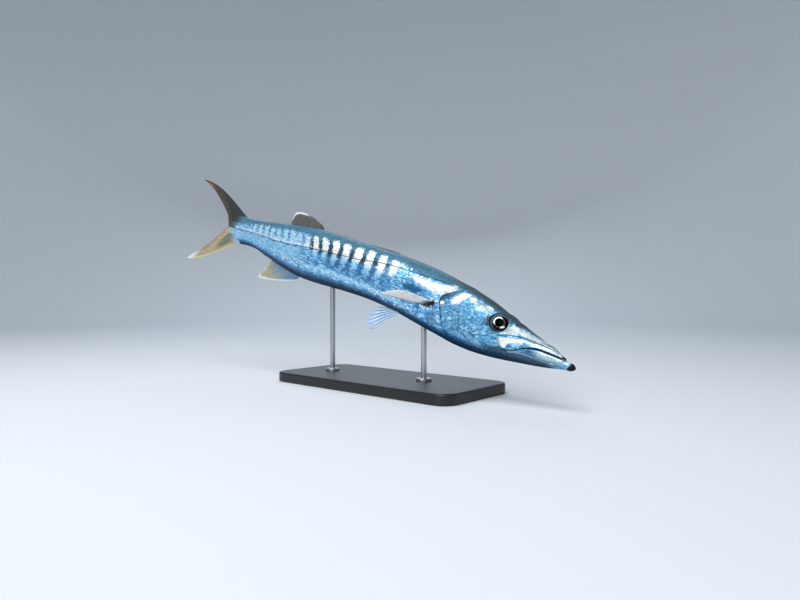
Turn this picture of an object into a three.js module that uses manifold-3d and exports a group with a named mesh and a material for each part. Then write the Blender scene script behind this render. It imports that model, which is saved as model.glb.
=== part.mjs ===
// A life-size barracuda in its swimming pose, held by two short rods on a flat base.
// Lengths are millimetres and angles are degrees. The fish is shaped in a straight frame of its own:
// the station s runs back from the tip of the lower jaw, y is the fish's left and z is up. Then its
// backbone is bent, and the whole fish is pitched nose down and banked on the stand.
import * as THREE from "three";
import { mergeVertices } from "three/addons/utils/BufferGeometryUtils.js";
import Module from "manifold-3d";

const wasm = await Module();
wasm.setup();

// Gap that touching pieces keep
const GAP = 0.35;

// Pose of the fish on its stand
const NOSE_DOWN = 20.5;
const BANK = -11.6;
const SNOUT_HEIGHT = 66;

// Bend of the backbone behind the head: the tail droops at a steady rate and swings to the right
const BEND_START = 270;
const TAIL_END = 1200;
const DROOP_PER_METRE = 12.66;
const TAIL_SWING = -8.9;
const SWING_LENGTH = 810;
const SPINE_STEP = 2;

// Body sections: station, height above and depth below the axis, half width, and how square the
// upper and lower halves are, where 2 is an ellipse and more is boxier
const SECTIONS = [
  [0, 4.6, 5.4, 5.0, 2.0, 2.0],
  [20, 9.0, 10.2, 8.4, 2.2, 2.0],
  [45, 16.2, 19.0, 13.2, 2.5, 2.0],
  [90, 24.4, 31.4, 20.6, 2.9, 2.0],
  [140, 35.2, 43.4, 28.0, 3.5, 2.1],
  [190, 46.0, 50.2, 34.4, 2.9, 2.2],
  [240, 53.0, 51.8, 39.0, 2.5, 2.3],
  [300, 57.8, 50.6, 42.6, 2.3, 2.3],
  [370, 59.2, 47.8, 44.6, 2.2, 2.2],
  [440, 57.4, 48.6, 45.2, 2.1, 2.1],
  [520, 55.2, 54.2, 45.0, 2.1, 2.1],
  [600, 55.8, 61.2, 43.6, 2.1, 2.1],
  [660, 54.0, 62.6, 40.6, 2.0, 2.0],
  [720, 48.6, 56.2, 35.0, 2.0, 2.0],
  [780, 41.4, 45.4, 27.6, 2.1, 2.1],
  [840, 35.6, 34.6, 20.2, 2.3, 2.3],
  [885, 33.0, 31.6, 14.4, 2.6, 2.6],
  [910, 33.6, 33.0, 10.4, 2.8, 2.8],
  [945, 33.6, 33.0, 6.0, 3.0, 3.0],
];
const TIP_ROUNDING = 8;
const TIP_RING = 1;
const RING_POINTS = 32;
const NOSE_RINGS = [3, 6, 11, 17];
const HEAD_RING_START = 24;
const HEAD_RING_STEP = 10;
const TRUNK_RING_STEP = 18;

// Where the trunk starts under the head, where it is split, and the rounded end of its tail stalk
const TRUNK_FROM = 150;
const TRUNK_TO = 945;
const TRUNK_SPLIT = 450;
const STALK_START = 784;
const STALK_CORNER = 892;
const STALK_TIP = 932;
const STALK_HEIGHT = 36;

// How far the head and gill covers stand out over the trunk behind them
const HEAD_SWELL = 1.4;
const SWELL_START = 120;
const SWELL_END = 210;

// Rear edge of the head: nape, gill opening and throat, as station and height
const HEAD_EDGE = [
  [206, 80],
  [216, 58],
  [236, 43],
  [247, 30],
  [253, 15],
  [248, 1],
  [238, -18],
  [229, -33],
  [206, -45],
  [186, -56],
  [172, -80],
];

// Front edge of the gill cover, along the preopercle, from the top down
const COVER_FRONT = [
  [218, 44],
  [213, 34],
  [214, 16],
  [207, -5],
  [196, -22],
  [178, -34],
  [164, -40],
  [168, -47],
];
const COVER_THICKNESS = 5;
const COVER_INNER_EDGE = 6;
const COVER_REAR_START = 2;
const COVER_OVERRUN = 30;

// Mouth slit from the upper jaw's tip back under the maxilla, then down behind the lower jaw,
// as station, height and gap
const MOUTH_LINE = [
  [12, 40, 1.6],
  [17.5, 14, 1.6],
  [23, 7.2, 2.0],
  [43, 5.0, 1.9],
  [59, 3.8, 1.3],
  [73, 0.2, 0.8],
  [85, -5.6, 0.5],
  [98, -14.5, 0.4],
  [111, -19.4, 0.35],
  [127, -25.5, 0.35],
  [141, -34, 0.35],
  [149, -45, 0.35],
  [153, -80, 0.35],
];

// Upper jaw plate: the premaxilla along the lip, widening into the maxilla under the eye
const MAXILLA = [
  [24, 6],
  [27, 10.6],
  [40, 12.2],
  [56, 12.6],
  [79, 10.8],
  [96, 9.2],
  [109, 6],
  [120, 0],
  [123.5, -8.6],
  [119.5, -15.4],
  [111, -18.6],
  [98, -14],
  [85, -5],
  [73, 0.5],
  [59, 4],
  [43, 5.2],
];
const MAXILLA_RISE = 1.2;

// Lower lip: the band of the lower jaw between the mouth and the fold under it
const LOWER_LIP = [
  [20, 4.5],
  [43, 3.6],
  [59, 2.6],
  [73, -0.6],
  [85, -6.2],
  [98, -15],
  [104, -18.4],
  [86, -14.6],
  [70, -12.6],
  [54, -10.2],
  [36, -6.8],
  [22, -3.2],
];
const LIP_RISE = 0.8;

// Creases cut into the cheek, the jaw and the gill cover
const CREASES = [
  [[203, 14], [196, -4], [186, -17], [168, -28]],
  [[118, -24], [103, -24.5], [86, -20.5], [66, -17], [46, -12]],
];
const CREASE_WIDTH = 1.2;
const CREASE_DEPTH = 0.8;

// Eye and nostrils
const EYE_STATION = 138.6;
const EYE_HEIGHT = 16.9;
const EYE_HALF_SIZE = { long: 17.6, deep: 9, tall: 16 };
const EYE_STANDS_OUT = 4.2;
const ORBIT_HALF_SIZE = { long: 20.4, deep: 10, tall: 18.2 };
const ORBIT_SET_IN = 3;
const NOSTRILS = [
  { station: 112, height: 24.5, radius: 2.2 },
  { station: 106.5, height: 22.8, radius: 1.5 },
];

// Stand
const BASE_LENGTH = 460;
const BASE_WIDTH = 200;
const BASE_HEIGHT = 20;
const BASE_CORNER = 28;
const BASE_EDGE = 3;
const BALANCE_STATION = 425;
const ROD_STATIONS = { front: 300, rear: 560 };
const ROD_RADIUS = 5.5;
const FOOT_RADIUS = 15;
const FOOT_HEIGHT = 5;
const FOOT_EDGE = 1;
const ROD_SEGMENTS = 24;
const ROD_OVERRUN = 30;

// Fins: the share of the space between two rays that half a ray takes, how much of a ray's height
// is lost towards its tip, and how fast the membrane thins
const RAY_HALF_SHARE = 0.24;
const RAY_TIP_LOSS = 0.8;
const THINNING_POWER = 0.7;

// Half the width of the blanks that cut regions out of the fish
const WIDE = 120;

const radians = THREE.MathUtils.degToRad;
const point = (s, y, z) => new THREE.Vector3(-s, y, z);

// A smooth curve through one column of a table whose first column is the station
function curveThrough(table, column) {
  const slope = (i) => {
    const before = table[Math.max(i - 1, 0)];
    const after = table[Math.min(i + 1, table.length - 1)];
    return (after[column] - before[column]) / (after[0] - before[0]);
  };
  return (station) => {
    const s = THREE.MathUtils.clamp(station, table[0][0], table.at(-1)[0]);
    const i = Math.max(1, table.findIndex((row) => row[0] >= s));
    const span = table[i][0] - table[i - 1][0];
    const t = (s - table[i - 1][0]) / span;
    const [from, to] = [table[i - 1][column], table[i][column]];
    const rise = from * (1 - t) ** 2 * (1 + 2 * t) + to * t ** 2 * (3 - 2 * t);
    return rise + span * t * (1 - t) * (slope(i - 1) * (1 - t) - slope(i) * t);
  };
}

const sectionCurves = [1, 2, 3, 4, 5].map((column) => curveThrough(SECTIONS, column));

// The body's section at a station, grown outwards by extra
function section(s, extra = 0) {
  const [up, down, half, topPower, bottomPower] = sectionCurves.map((curve) => curve(s));
  const reach = THREE.MathUtils.clamp(s / TIP_ROUNDING, 0, 1);
  const dome = Math.sqrt(1 - (1 - reach) ** 2);
  return {
    up: up * dome + extra,
    down: down * dome + extra,
    half: half * dome + extra,
    topPower,
    bottomPower,
  };
}

const signedPower = (value, power) => Math.sign(value) * Math.abs(value) ** power;

// A point of the skin: angle 0 is the fish's left, 90 its back
function skinPoint(s, angle, extra = 0) {
  const { up, down, half, topPower, bottomPower } = section(s, extra);
  const upper = angle <= 180;
  const power = 2 / (upper ? topPower : bottomPower);
  const y = half * signedPower(Math.cos(radians(angle)), power);
  const z = (upper ? up : down) * signedPower(Math.sin(radians(angle)), power);
  return point(s, y, z);
}

// Half width of the body at a height above or below its axis
function halfWidthAt(s, z, extra = 0) {
  const { up, down, half, topPower, bottomPower } = section(s, extra);
  const power = z > 0 ? topPower : bottomPower;
  const reach = Math.abs(z) / (z > 0 ? up : down);
  return half * (1 - reach ** power) ** (1 / power);
}

const headSwell = (s) => HEAD_SWELL * THREE.MathUtils.smoothstep(s, SWELL_START, SWELL_END);

function ringStations(from, to) {
  const stations = [...NOSE_RINGS];
  for (let s = HEAD_RING_START; s < BEND_START; s += HEAD_RING_STEP) stations.push(s);
  for (let s = BEND_START; s < TAIL_END; s += TRUNK_RING_STEP) stations.push(s);
  return [from, ...stations.filter((s) => s > from + 1 && s < to - 1), to];
}

// A closed body from one station to another, grown outwards by extra(s)
function bodyLoft(from, to, extra) {
  const stations = ringStations(from, to);
  const positions = [];
  for (const s of stations) {
    for (let k = 0; k < RING_POINTS; k += 1) {
      positions.push(...skinPoint(s, (360 * k) / RING_POINTS, extra(s)));
    }
  }
  const front = positions.length / 3;
  const back = front + 1;
  const nose = from === TIP_RING ? -extra(from) : from;
  positions.push(...point(nose, 0, 0), ...point(to, 0, 0));
  const triangles = [];
  const last = (stations.length - 1) * RING_POINTS;
  for (let k = 0; k < RING_POINTS; k += 1) {
    const next = (k + 1) % RING_POINTS;
    triangles.push(front, k, next, back, last + next, last + k);
    for (let i = 0; i < stations.length - 1; i += 1) {
      const here = i * RING_POINTS;
      const there = here + RING_POINTS;
      triangles.push(here + k, there + k, there + next, here + k, there + next, here + next);
    }
  }
  return solidFrom(meshGeometry(positions, triangles));
}

function meshGeometry(positions, triangles) {
  return new THREE.BufferGeometry()
    .setAttribute("position", new THREE.Float32BufferAttribute(positions, 3))
    .setIndex(triangles);
}

function solidFrom(geometry) {
  geometry.deleteAttribute("normal");
  geometry.deleteAttribute("uv");
  const merged = mergeVertices(geometry);
  return new wasm.Manifold(
    new wasm.Mesh({
      numProp: 3,
      vertProperties: merged.attributes.position.array,
      triVerts: new Uint32Array(merged.index.array),
    }),
  );
}

function geometryFrom(solid) {
  const mesh = solid.getMesh();
  return new THREE.BufferGeometry()
    .setAttribute("position", new THREE.BufferAttribute(mesh.vertProperties, 3))
    .setIndex(new THREE.BufferAttribute(mesh.triVerts, 1));
}

function largestPiece(solid) {
  return solid.decompose().reduce((most, piece) => (piece.volume() > most.volume() ? piece : most));
}

// Points along a smooth line through a list of stations and heights
function smoothLine(list, count) {
  const curve = new THREE.SplineCurve(list.map(([s, z]) => new THREE.Vector2(-s, z)));
  return curve.getPoints(count);
}

// The same line moved sideways: a positive distance moves it to the right of its direction
function offsetLine(line, distanceAt) {
  return line.map((at, i) => {
    const before = line[Math.max(i - 1, 0)];
    const after = line[Math.min(i + 1, line.length - 1)];
    const along = after.clone().sub(before).normalize();
    const side = new THREE.Vector2(along.y, -along.x);
    return at.clone().addScaledVector(side, distanceAt(i / (line.length - 1)));
  });
}

// A closed side-view outline pushed through the fish from one y to another
function prism(outline, fromY, toY) {
  const shape = new THREE.Shape(outline);
  const geometry = new THREE.ExtrudeGeometry(shape, { depth: toY - fromY, bevelEnabled: false });
  geometry.rotateX(Math.PI / 2);
  geometry.translate(0, toY, 0);
  return solidFrom(geometry);
}

const through = (outline) => prism(outline, -WIDE, WIDE);
const corner = (s, z) => new THREE.Vector2(-s, z);

// Everything ahead of the gill opening, moved back by shift
function headRegion(shift) {
  const edge = offsetLine(smoothLine(HEAD_EDGE, 20), () => shift);
  const nape = HEAD_EDGE[0][0];
  return through([corner(-WIDE, WIDE), corner(-WIDE, -WIDE), ...edge.reverse(), corner(nape, WIDE)]);
}

// The region of the lower jaw, with the mouth slit's gap taken from it or given to it
function jawRegion(share) {
  const gaps = MOUTH_LINE.map((row) => row[2]);
  const gapAt = (t) => {
    const place = t * (gaps.length - 1);
    const i = Math.min(Math.floor(place), gaps.length - 2);
    return THREE.MathUtils.lerp(gaps[i], gaps[i + 1], place - i);
  };
  const line = offsetLine(smoothLine(MOUTH_LINE, 26), (t) => -share * gapAt(t));
  return through([corner(-WIDE, WIDE), ...line, corner(-WIDE, -WIDE)]);
}

// The outline of one gill cover, grown by a margin in front
function coverRegion(side, margin) {
  const front = offsetLine(smoothLine(COVER_FRONT, 14), () => -margin);
  const rear = HEAD_EDGE.slice(COVER_REAR_START, -1).map(([s, z]) => corner(s + COVER_OVERRUN, z));
  const outline = [...front.reverse(), ...rear];
  const inner = COVER_INNER_EDGE - margin;
  return side > 0 ? prism(outline, inner, WIDE) : prism(outline, -WIDE, -inner);
}

// A narrow band along a line, for a crease
function creaseRegion(list) {
  const line = smoothLine(list, 8);
  const left = offsetLine(line, () => -CREASE_WIDTH / 2);
  const right = offsetLine(line, () => CREASE_WIDTH / 2);
  return through([...left, ...right.reverse()]);
}

// Everything ahead of the tail stalk's rounded end, where the fin rays start, moved back by shift
function stalkEndRegion(shift) {
  const side = STALK_CORNER + shift;
  const arc = [];
  for (let z = -STALK_HEIGHT; z <= STALK_HEIGHT; z += STALK_HEIGHT / 6) {
    arc.push(corner(side + (STALK_TIP - STALK_CORNER) * (1 - (z / STALK_HEIGHT) ** 2), z));
  }
  return through([corner(0, -WIDE), corner(side, -WIDE), ...arc, corner(side, WIDE), corner(0, WIDE)]);
}

// The backbone: how far it has turned to the left and downwards, and where it runs
function spineFrames() {
  const frames = [];
  const at = new THREE.Vector3(-BEND_START, 0, 0);
  for (let s = BEND_START; s <= TAIL_END; s += SPINE_STEP) {
    const length = s - BEND_START;
    const swing = radians(TAIL_SWING) * (length / SWING_LENGTH) ** 2;
    const droop = -radians(DROOP_PER_METRE) * (length / 1000);
    frames.push({ at: at.clone(), swing, droop });
    const along = new THREE.Vector3(
      -Math.cos(swing) * Math.cos(droop),
      Math.sin(swing) * Math.cos(droop),
      Math.sin(droop),
    );
    at.addScaledVector(along, SPINE_STEP);
  }
  return frames;
}

const frames = spineFrames();

// Carry a point of the straight fish along with the bent backbone
function bendPoint(p) {
  const s = -p.x;
  if (s <= BEND_START) return p.clone();
  const place = (s - BEND_START) / SPINE_STEP;
  const i = Math.min(Math.floor(place), frames.length - 2);
  const [a, b] = [frames[i], frames[i + 1]];
  const swing = THREE.MathUtils.lerp(a.swing, b.swing, place - i);
  const droop = THREE.MathUtils.lerp(a.droop, b.droop, place - i);
  const left = new THREE.Vector3(Math.sin(swing), Math.cos(swing), 0);
  const up = new THREE.Vector3(
    Math.sin(droop) * Math.cos(swing),
    -Math.sin(droop) * Math.sin(swing),
    Math.cos(droop),
  );
  return a.at.clone().lerp(b.at, place - i).addScaledVector(left, p.y).addScaledVector(up, p.z);
}

function bend(geometry) {
  const position = geometry.attributes.position;
  const at = new THREE.Vector3();
  for (let i = 0; i < position.count; i += 1) {
    const moved = bendPoint(at.fromBufferAttribute(position, i));
    position.setXYZ(i, moved.x, moved.y, moved.z);
  }
  return geometry;
}

// Where the columns of a fin's grid lie: three to each ray, the middle one on its crest
function rayColumns(rays) {
  const columns = [{ u: 0, crest: 0 }];
  for (let i = 0; i < rays; i += 1) {
    for (const side of [-1, 0, 1]) {
      columns.push({ u: (i + 0.5 + side * RAY_HALF_SHARE) / rays, crest: side === 0 ? 1 : 0 });
    }
  }
  return [...columns, { u: 1, crest: 0 }];
}

// One blade of a fin. Its rays fan from root(u) to edge(u), where u runs from the leading ray to the
// last, and each ray is a ridge on both faces of the membrane. The leading rays may bow outwards, most
// at two thirds of their length.
function finBlade({ root, edge, normal, rays, rows, rootHalf, tipHalf, ridge, bow = 0 }) {
  const columns = rayColumns(rays);
  const facing = Math.sign(edge(1).sub(edge(0)).cross(edge(0.5).sub(root(0.5))).dot(normal));
  const faces = [[], []];
  for (const { u, crest } of columns) {
    const from = root(u);
    const to = edge(u);
    const outwards = normal.clone().cross(to.clone().sub(from)).normalize();
    for (let row = 0; row <= rows; row += 1) {
      const v = row / rows;
      const push = bow * (1 - u) * (27 / 4) * v ** 2 * (1 - v);
      const at = from.clone().lerp(to, v).addScaledVector(outwards, push);
      const membrane = THREE.MathUtils.lerp(rootHalf, tipHalf, v ** THINNING_POWER);
      const half = membrane + crest * ridge * (1 - RAY_TIP_LOSS * v);
      faces[0].push(...at.clone().addScaledVector(normal, facing * half));
      faces[1].push(...at.clone().addScaledVector(normal, -facing * half));
    }
  }
  return closedSheet(faces, columns.length - 1, rows);
}

// Two like faces of a grid, closed along their rim
function closedSheet(faces, columns, rows) {
  const count = (columns + 1) * (rows + 1);
  const index = (i, j) => i * (rows + 1) + j;
  const triangles = [];
  const addBoth = (a, b, c) => triangles.push(a, b, c, c + count, b + count, a + count);
  for (let i = 0; i < columns; i += 1) {
    for (let j = 0; j < rows; j += 1) {
      addBoth(index(i, j), index(i + 1, j), index(i + 1, j + 1));
      addBoth(index(i, j), index(i + 1, j + 1), index(i, j + 1));
    }
  }
  const rim = [];
  for (let i = 0; i < columns; i += 1) rim.push(index(i, 0));
  for (let j = 0; j < rows; j += 1) rim.push(index(columns, j));
  for (let i = columns; i > 0; i -= 1) rim.push(index(i, rows));
  for (let j = rows; j > 0; j -= 1) rim.push(index(0, j));
  rim.forEach((a, k) => {
    const b = rim[(k + 1) % rim.length];
    triangles.push(a, a + count, b + count, a, b + count, b);
  });
  return solidFrom(meshGeometry([...faces[0], ...faces[1]], triangles));
}

const SIDEWAYS = new THREE.Vector3(0, 1, 0);

// A curve in the middle plane of the fish through stations and heights
function middleCurve(list) {
  const curve = new THREE.SplineCurve(list.map(([s, z]) => new THREE.Vector2(s, z)));
  return (u) => {
    const at = curve.getPoint(u);
    return point(at.x, 0, at.y);
  };
}

function spaceCurve(list) {
  const curve = new THREE.CatmullRomCurve3(list.map(([s, y, z]) => point(s, y, z)));
  return (u) => curve.getPoint(u);
}

// First dorsal fin: five spines folded down along the back
function firstDorsal() {
  return finBlade({
    root: middleCurve([[402, 54], [432, 52], [462, 51]]),
    edge: middleCurve([[412, 60.2], [440, 59.7], [470, 58.0], [504, 55.6]]),
    normal: SIDEWAYS,
    rays: 5,
    rows: 3,
    rootHalf: 1.6,
    tipHalf: 0.5,
    ridge: 1.0,
  });
}

// Second dorsal fin, laid back
function secondDorsal() {
  return finBlade({
    root: middleCurve([[628, 51], [688, 47], [742, 40]]),
    edge: middleCurve([[646, 63.5], [686, 76], [722, 79.4], [741, 73], [745, 49]]),
    normal: SIDEWAYS,
    rays: 10,
    rows: 4,
    rootHalf: 1.6,
    tipHalf: 0.3,
    ridge: 0.8,
  });
}

function analFin() {
  return finBlade({
    root: middleCurve([[656, -58], [714, -52], [767, -42]]),
    edge: middleCurve([[672, -73], [716, -85.5], [760, -94.4], [801, -96.4], [786, -79], [771, -50]]),
    normal: SIDEWAYS,
    rays: 10,
    rows: 4,
    rootHalf: 1.6,
    tipHalf: 0.3,
    ridge: 0.8,
  });
}

// One lobe of the forked tail fin
function tailLobe(root, edge, bow) {
  return finBlade({
    root: middleCurve(root),
    edge: middleCurve(edge),
    normal: SIDEWAYS,
    rays: 9,
    rows: 5,
    rootHalf: 2.3,
    tipHalf: 0.3,
    ridge: 0.9,
    bow,
  });
}

const upperTailLobe = () =>
  tailLobe(
    [[882, 29], [906, 21], [920, 10], [922, 0.2]],
    [[1094, 111.5], [1052, 91], [1008, 60.3], [974, 31], [959.5, 2.8]],
    11,
  );

const lowerTailLobe = () =>
  tailLobe(
    [[892, -27], [908, -20], [920, -10], [922, -0.2]],
    [[1087, -103.5], [1046, -74.5], [1008, -46.5], [978, -16], [959.5, 2.4]],
    -10,
  );

// Pectoral fin: a narrow blade held out from the flank, its longest ray along the lower edge
const PECTORAL_ROOT = [[259, 34, -5.5], [259, 34.5, 0], [260, 34, 6]];
const PECTORAL_EDGE = [[362, 73, -24], [346, 71, -12.5], [328, 67, -3], [304, 60, 3], [284, 52, 6]];

function pectoralFin(side) {
  const onSide = (list) => list.map(([s, y, z]) => [s, side * y, z]);
  return finBlade({
    root: spaceCurve(onSide(PECTORAL_ROOT)),
    edge: spaceCurve(onSide(PECTORAL_EDGE)),
    normal: new THREE.Vector3(-0.25, side, 0.1).normalize(),
    rays: 10,
    rows: 3,
    rootHalf: 1.3,
    tipHalf: 0.3,
    ridge: 0.6,
  });
}

// Pelvic fins: short fans on the belly, the right one spread downwards and the left one outwards
const PELVIC_FINS = {
  right: {
    root: [[340, -17, -40], [348, -15, -40], [356, -13, -40]],
    edge: [[384, -23, -95], [396, -27, -96], [408, -23, -86], [413, -19, -72], [406, -14, -54]],
    normal: new THREE.Vector3(0, -1, -0.25).normalize(),
  },
  left: {
    root: [[341, 17, -41], [349, 15.5, -41.5], [357, 14, -42]],
    edge: [[394, 45, -50], [404, 43, -50.6], [411, 36, -51], [413, 28, -51.4], [406, 20, -50.6]],
    normal: new THREE.Vector3(-0.09, 0.3, 0.95).normalize(),
  },
};

function pelvicFin({ root, edge, normal }) {
  return finBlade({
    root: spaceCurve(root),
    edge: spaceCurve(edge),
    normal,
    rays: 6,
    rows: 3,
    rootHalf: 1.2,
    tipHalf: 0.3,
    ridge: 0.8,
  });
}

// The eyeball's place: square to the cheek and standing out over it a little
function eyePlacement(side) {
  const width = halfWidthAt(EYE_STATION, EYE_HEIGHT);
  const alongSlope = halfWidthAt(EYE_STATION + 1, EYE_HEIGHT) - width;
  const upSlope = halfWidthAt(EYE_STATION, EYE_HEIGHT + 1) - width;
  const outwards = new THREE.Vector3(alongSlope, side, -upSlope).normalize();
  const turn = new THREE.Quaternion().setFromUnitVectors(new THREE.Vector3(0, side, 0), outwards);
  const centre = point(EYE_STATION, side * width, EYE_HEIGHT);
  centre.addScaledVector(outwards, EYE_STANDS_OUT - EYE_HALF_SIZE.deep);
  return new THREE.Matrix4().compose(centre, turn, new THREE.Vector3(1, 1, 1));
}

function ellipsoid({ long, deep, tall }, grow) {
  const geometry = new THREE.SphereGeometry(1, 20, 10);
  return geometry.scale(long + grow, deep + grow, tall + grow);
}

function orbitSwelling(side) {
  const geometry = ellipsoid(ORBIT_HALF_SIZE, 0).translate(0, -side * ORBIT_SET_IN, 0);
  return solidFrom(geometry.applyMatrix4(eyePlacement(side)));
}

function nostrilPit({ station, height, radius }, side) {
  const geometry = new THREE.SphereGeometry(radius, 8, 6);
  geometry.translate(-station, side * halfWidthAt(station, height), height);
  return solidFrom(geometry);
}

// The head and throat as one body, grown outwards by extra
const headLoft = (extra) => bodyLoft(TIP_RING, BEND_START, (s) => headSwell(s) + extra);

// The whole head before it is parted, with its plates raised and its pits cut
function headMass() {
  const shallow = headLoft(-CREASE_DEPTH);
  let mass = headLoft(0);
  mass = mass.add(through(smoothLine(MAXILLA, 24)).intersect(headLoft(MAXILLA_RISE)));
  mass = mass.add(through(smoothLine(LOWER_LIP, 18)).intersect(headLoft(LIP_RISE)));
  for (const list of CREASES) mass = mass.subtract(creaseRegion(list).subtract(shallow));
  for (const side of [-1, 1]) {
    mass = mass.add(orbitSwelling(side));
    mass = mass.subtract(solidFrom(ellipsoid(EYE_HALF_SIZE, GAP).applyMatrix4(eyePlacement(side))));
    for (const nostril of NOSTRILS) mass = mass.subtract(nostrilPit(nostril, side));
  }
  return mass.intersect(headRegion(0));
}

function headSolids() {
  const mass = headMass();
  const coverCore = headLoft(-COVER_THICKNESS);
  const pocketCore = headLoft(-COVER_THICKNESS - GAP);
  let skull = mass.subtract(jawRegion(-0.5));
  for (const side of [-1, 1]) skull = skull.subtract(coverRegion(side, GAP).subtract(pocketCore));
  const cover = (side) => mass.intersect(coverRegion(side, 0)).subtract(coverCore);
  return {
    head: largestPiece(skull),
    lower_jaw: largestPiece(mass.intersect(jawRegion(0.5))),
    gill_cover_right: largestPiece(cover(-1)),
    gill_cover_left: largestPiece(cover(1)),
  };
}

// The fish behind the head, grown outwards by extra
const trunkLoft = (extra) => bodyLoft(TRUNK_FROM, TRUNK_TO, () => extra);

// A slice of the fish between two stations
function slab(from, to) {
  return through([corner(from, -WIDE), corner(to, -WIDE), corner(to, WIDE), corner(from, WIDE)]);
}

function trunkSolids() {
  const trunk = trunkLoft(0);
  const front = trunk.intersect(slab(0, TRUNK_SPLIT - GAP / 2)).subtract(headRegion(GAP));
  const rear = trunk.intersect(slab(TRUNK_SPLIT + GAP / 2, STALK_START - GAP / 2));
  const stalk = trunk.intersect(slab(STALK_START + GAP / 2, TAIL_END)).intersect(stalkEndRegion(0));
  return {
    trunk_front: largestPiece(front),
    trunk_rear: largestPiece(rear),
    tail_stalk: largestPiece(stalk),
  };
}

// All flesh grown by the gap, which cuts whatever grows out of it or holds it
function fleshClearance() {
  const head = headLoft(GAP).intersect(headRegion(GAP));
  return trunkLoft(GAP).intersect(stalkEndRegion(GAP)).add(head);
}

const flesh = fleshClearance();

function finSolids() {
  const fins = {
    first_dorsal_fin: firstDorsal(),
    second_dorsal_fin: secondDorsal(),
    anal_fin: analFin(),
    tail_fin_upper: upperTailLobe(),
    tail_fin_lower: lowerTailLobe(),
    pectoral_fin_right: pectoralFin(-1),
    pectoral_fin_left: pectoralFin(1),
    pelvic_fin_right: pelvicFin(PELVIC_FINS.right),
    pelvic_fin_left: pelvicFin(PELVIC_FINS.left),
  };
  for (const name of Object.keys(fins)) fins[name] = largestPiece(fins[name].subtract(flesh));
  return fins;
}

const finish = (color, roughness, metalness) =>
  new THREE.MeshStandardMaterial({ color, roughness, metalness });

const silverSkin = finish(0xb4c6d2, 0.35, 0.5);
const headSkin = finish(0xa3b4c0, 0.3, 0.5);
const coverSkin = finish(0xaccbe0, 0.28, 0.55);
const jawSkin = finish(0x8496a2, 0.35, 0.4);
const darkFin = finish(0x4a4c48, 0.55, 0);
const tanFin = finish(0xa08c62, 0.55, 0);
const paleFin = finish(0xc3ccd4, 0.5, 0);
const eyeGloss = finish(0x15181c, 0.1, 0.1);
const blackPaint = finish(0x232426, 0.5, 0.2);
const satinSteel = finish(0x9c9fa3, 0.35, 0.9);

const MATERIALS = {
  head: headSkin,
  lower_jaw: jawSkin,
  gill_cover_right: coverSkin,
  gill_cover_left: coverSkin,
  trunk_front: silverSkin,
  trunk_rear: silverSkin,
  tail_stalk: silverSkin,
  first_dorsal_fin: darkFin,
  second_dorsal_fin: darkFin,
  anal_fin: tanFin,
  tail_fin_upper: darkFin,
  tail_fin_lower: tanFin,
  pectoral_fin_right: paleFin,
  pectoral_fin_left: paleFin,
  pelvic_fin_right: paleFin,
  pelvic_fin_left: paleFin,
};

// A mesh whose own origin is the middle of its box, placed there by its position
function placedMesh(name, geometry, material) {
  geometry.computeBoundingBox();
  const middle = geometry.boundingBox.getCenter(new THREE.Vector3());
  geometry.translate(-middle.x, -middle.y, -middle.z);
  geometry.computeVertexNormals();
  const mesh = new THREE.Mesh(geometry, material);
  mesh.name = name;
  mesh.position.copy(middle);
  return mesh;
}

// The fish as a group, its balance point over the middle of the stand
function fishGroup() {
  const fish = new THREE.Group();
  fish.rotation.set(radians(BANK), radians(NOSE_DOWN), 0, "ZYX");
  const balance = bendPoint(point(BALANCE_STATION, 0, 0)).applyEuler(fish.rotation);
  fish.position.set(-balance.x, -balance.y, SNOUT_HEIGHT);
  const solids = { ...headSolids(), ...trunkSolids(), ...finSolids() };
  for (const [name, solid] of Object.entries(solids)) {
    fish.add(placedMesh(name, bend(geometryFrom(solid)), MATERIALS[name]));
  }
  for (const side of [-1, 1]) {
    const eye = new THREE.Mesh(ellipsoid(EYE_HALF_SIZE, 0), eyeGloss);
    eye.name = side < 0 ? "eye_right" : "eye_left";
    eyePlacement(side).decompose(eye.position, eye.quaternion, eye.scale);
    fish.add(eye);
  }
  fish.updateMatrixWorld(true);
  return fish;
}

function standBase() {
  const [x, y, r] = [BASE_LENGTH / 2 - BASE_EDGE, BASE_WIDTH / 2 - BASE_EDGE, BASE_CORNER];
  const shape = new THREE.Shape()
    .moveTo(-x + r, -y)
    .lineTo(x - r, -y)
    .absarc(x - r, -y + r, r, -Math.PI / 2, 0)
    .lineTo(x, y - r)
    .absarc(x - r, y - r, r, 0, Math.PI / 2)
    .lineTo(-x + r, y)
    .absarc(-x + r, y - r, r, Math.PI / 2, Math.PI)
    .lineTo(-x, -y + r)
    .absarc(-x + r, -y + r, r, Math.PI, 1.5 * Math.PI);
  const geometry = new THREE.ExtrudeGeometry(shape, {
    depth: BASE_HEIGHT - 2 * BASE_EDGE,
    bevelThickness: BASE_EDGE,
    bevelSize: BASE_EDGE,
    bevelSegments: 2,
    curveSegments: 6,
  });
  const base = new THREE.Mesh(geometry, blackPaint);
  base.name = "stand_base";
  base.position.z = BASE_EDGE;
  return base;
}

// The lowest point of the posed skin at a station
function lowestPoint(fish, s) {
  const ring = [];
  for (let angle = 180; angle <= 360; angle += 1) {
    ring.push(bendPoint(skinPoint(s, angle)).applyMatrix4(fish.matrixWorld));
  }
  return ring.reduce((low, at) => (at.z < low.z ? at : low));
}

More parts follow.
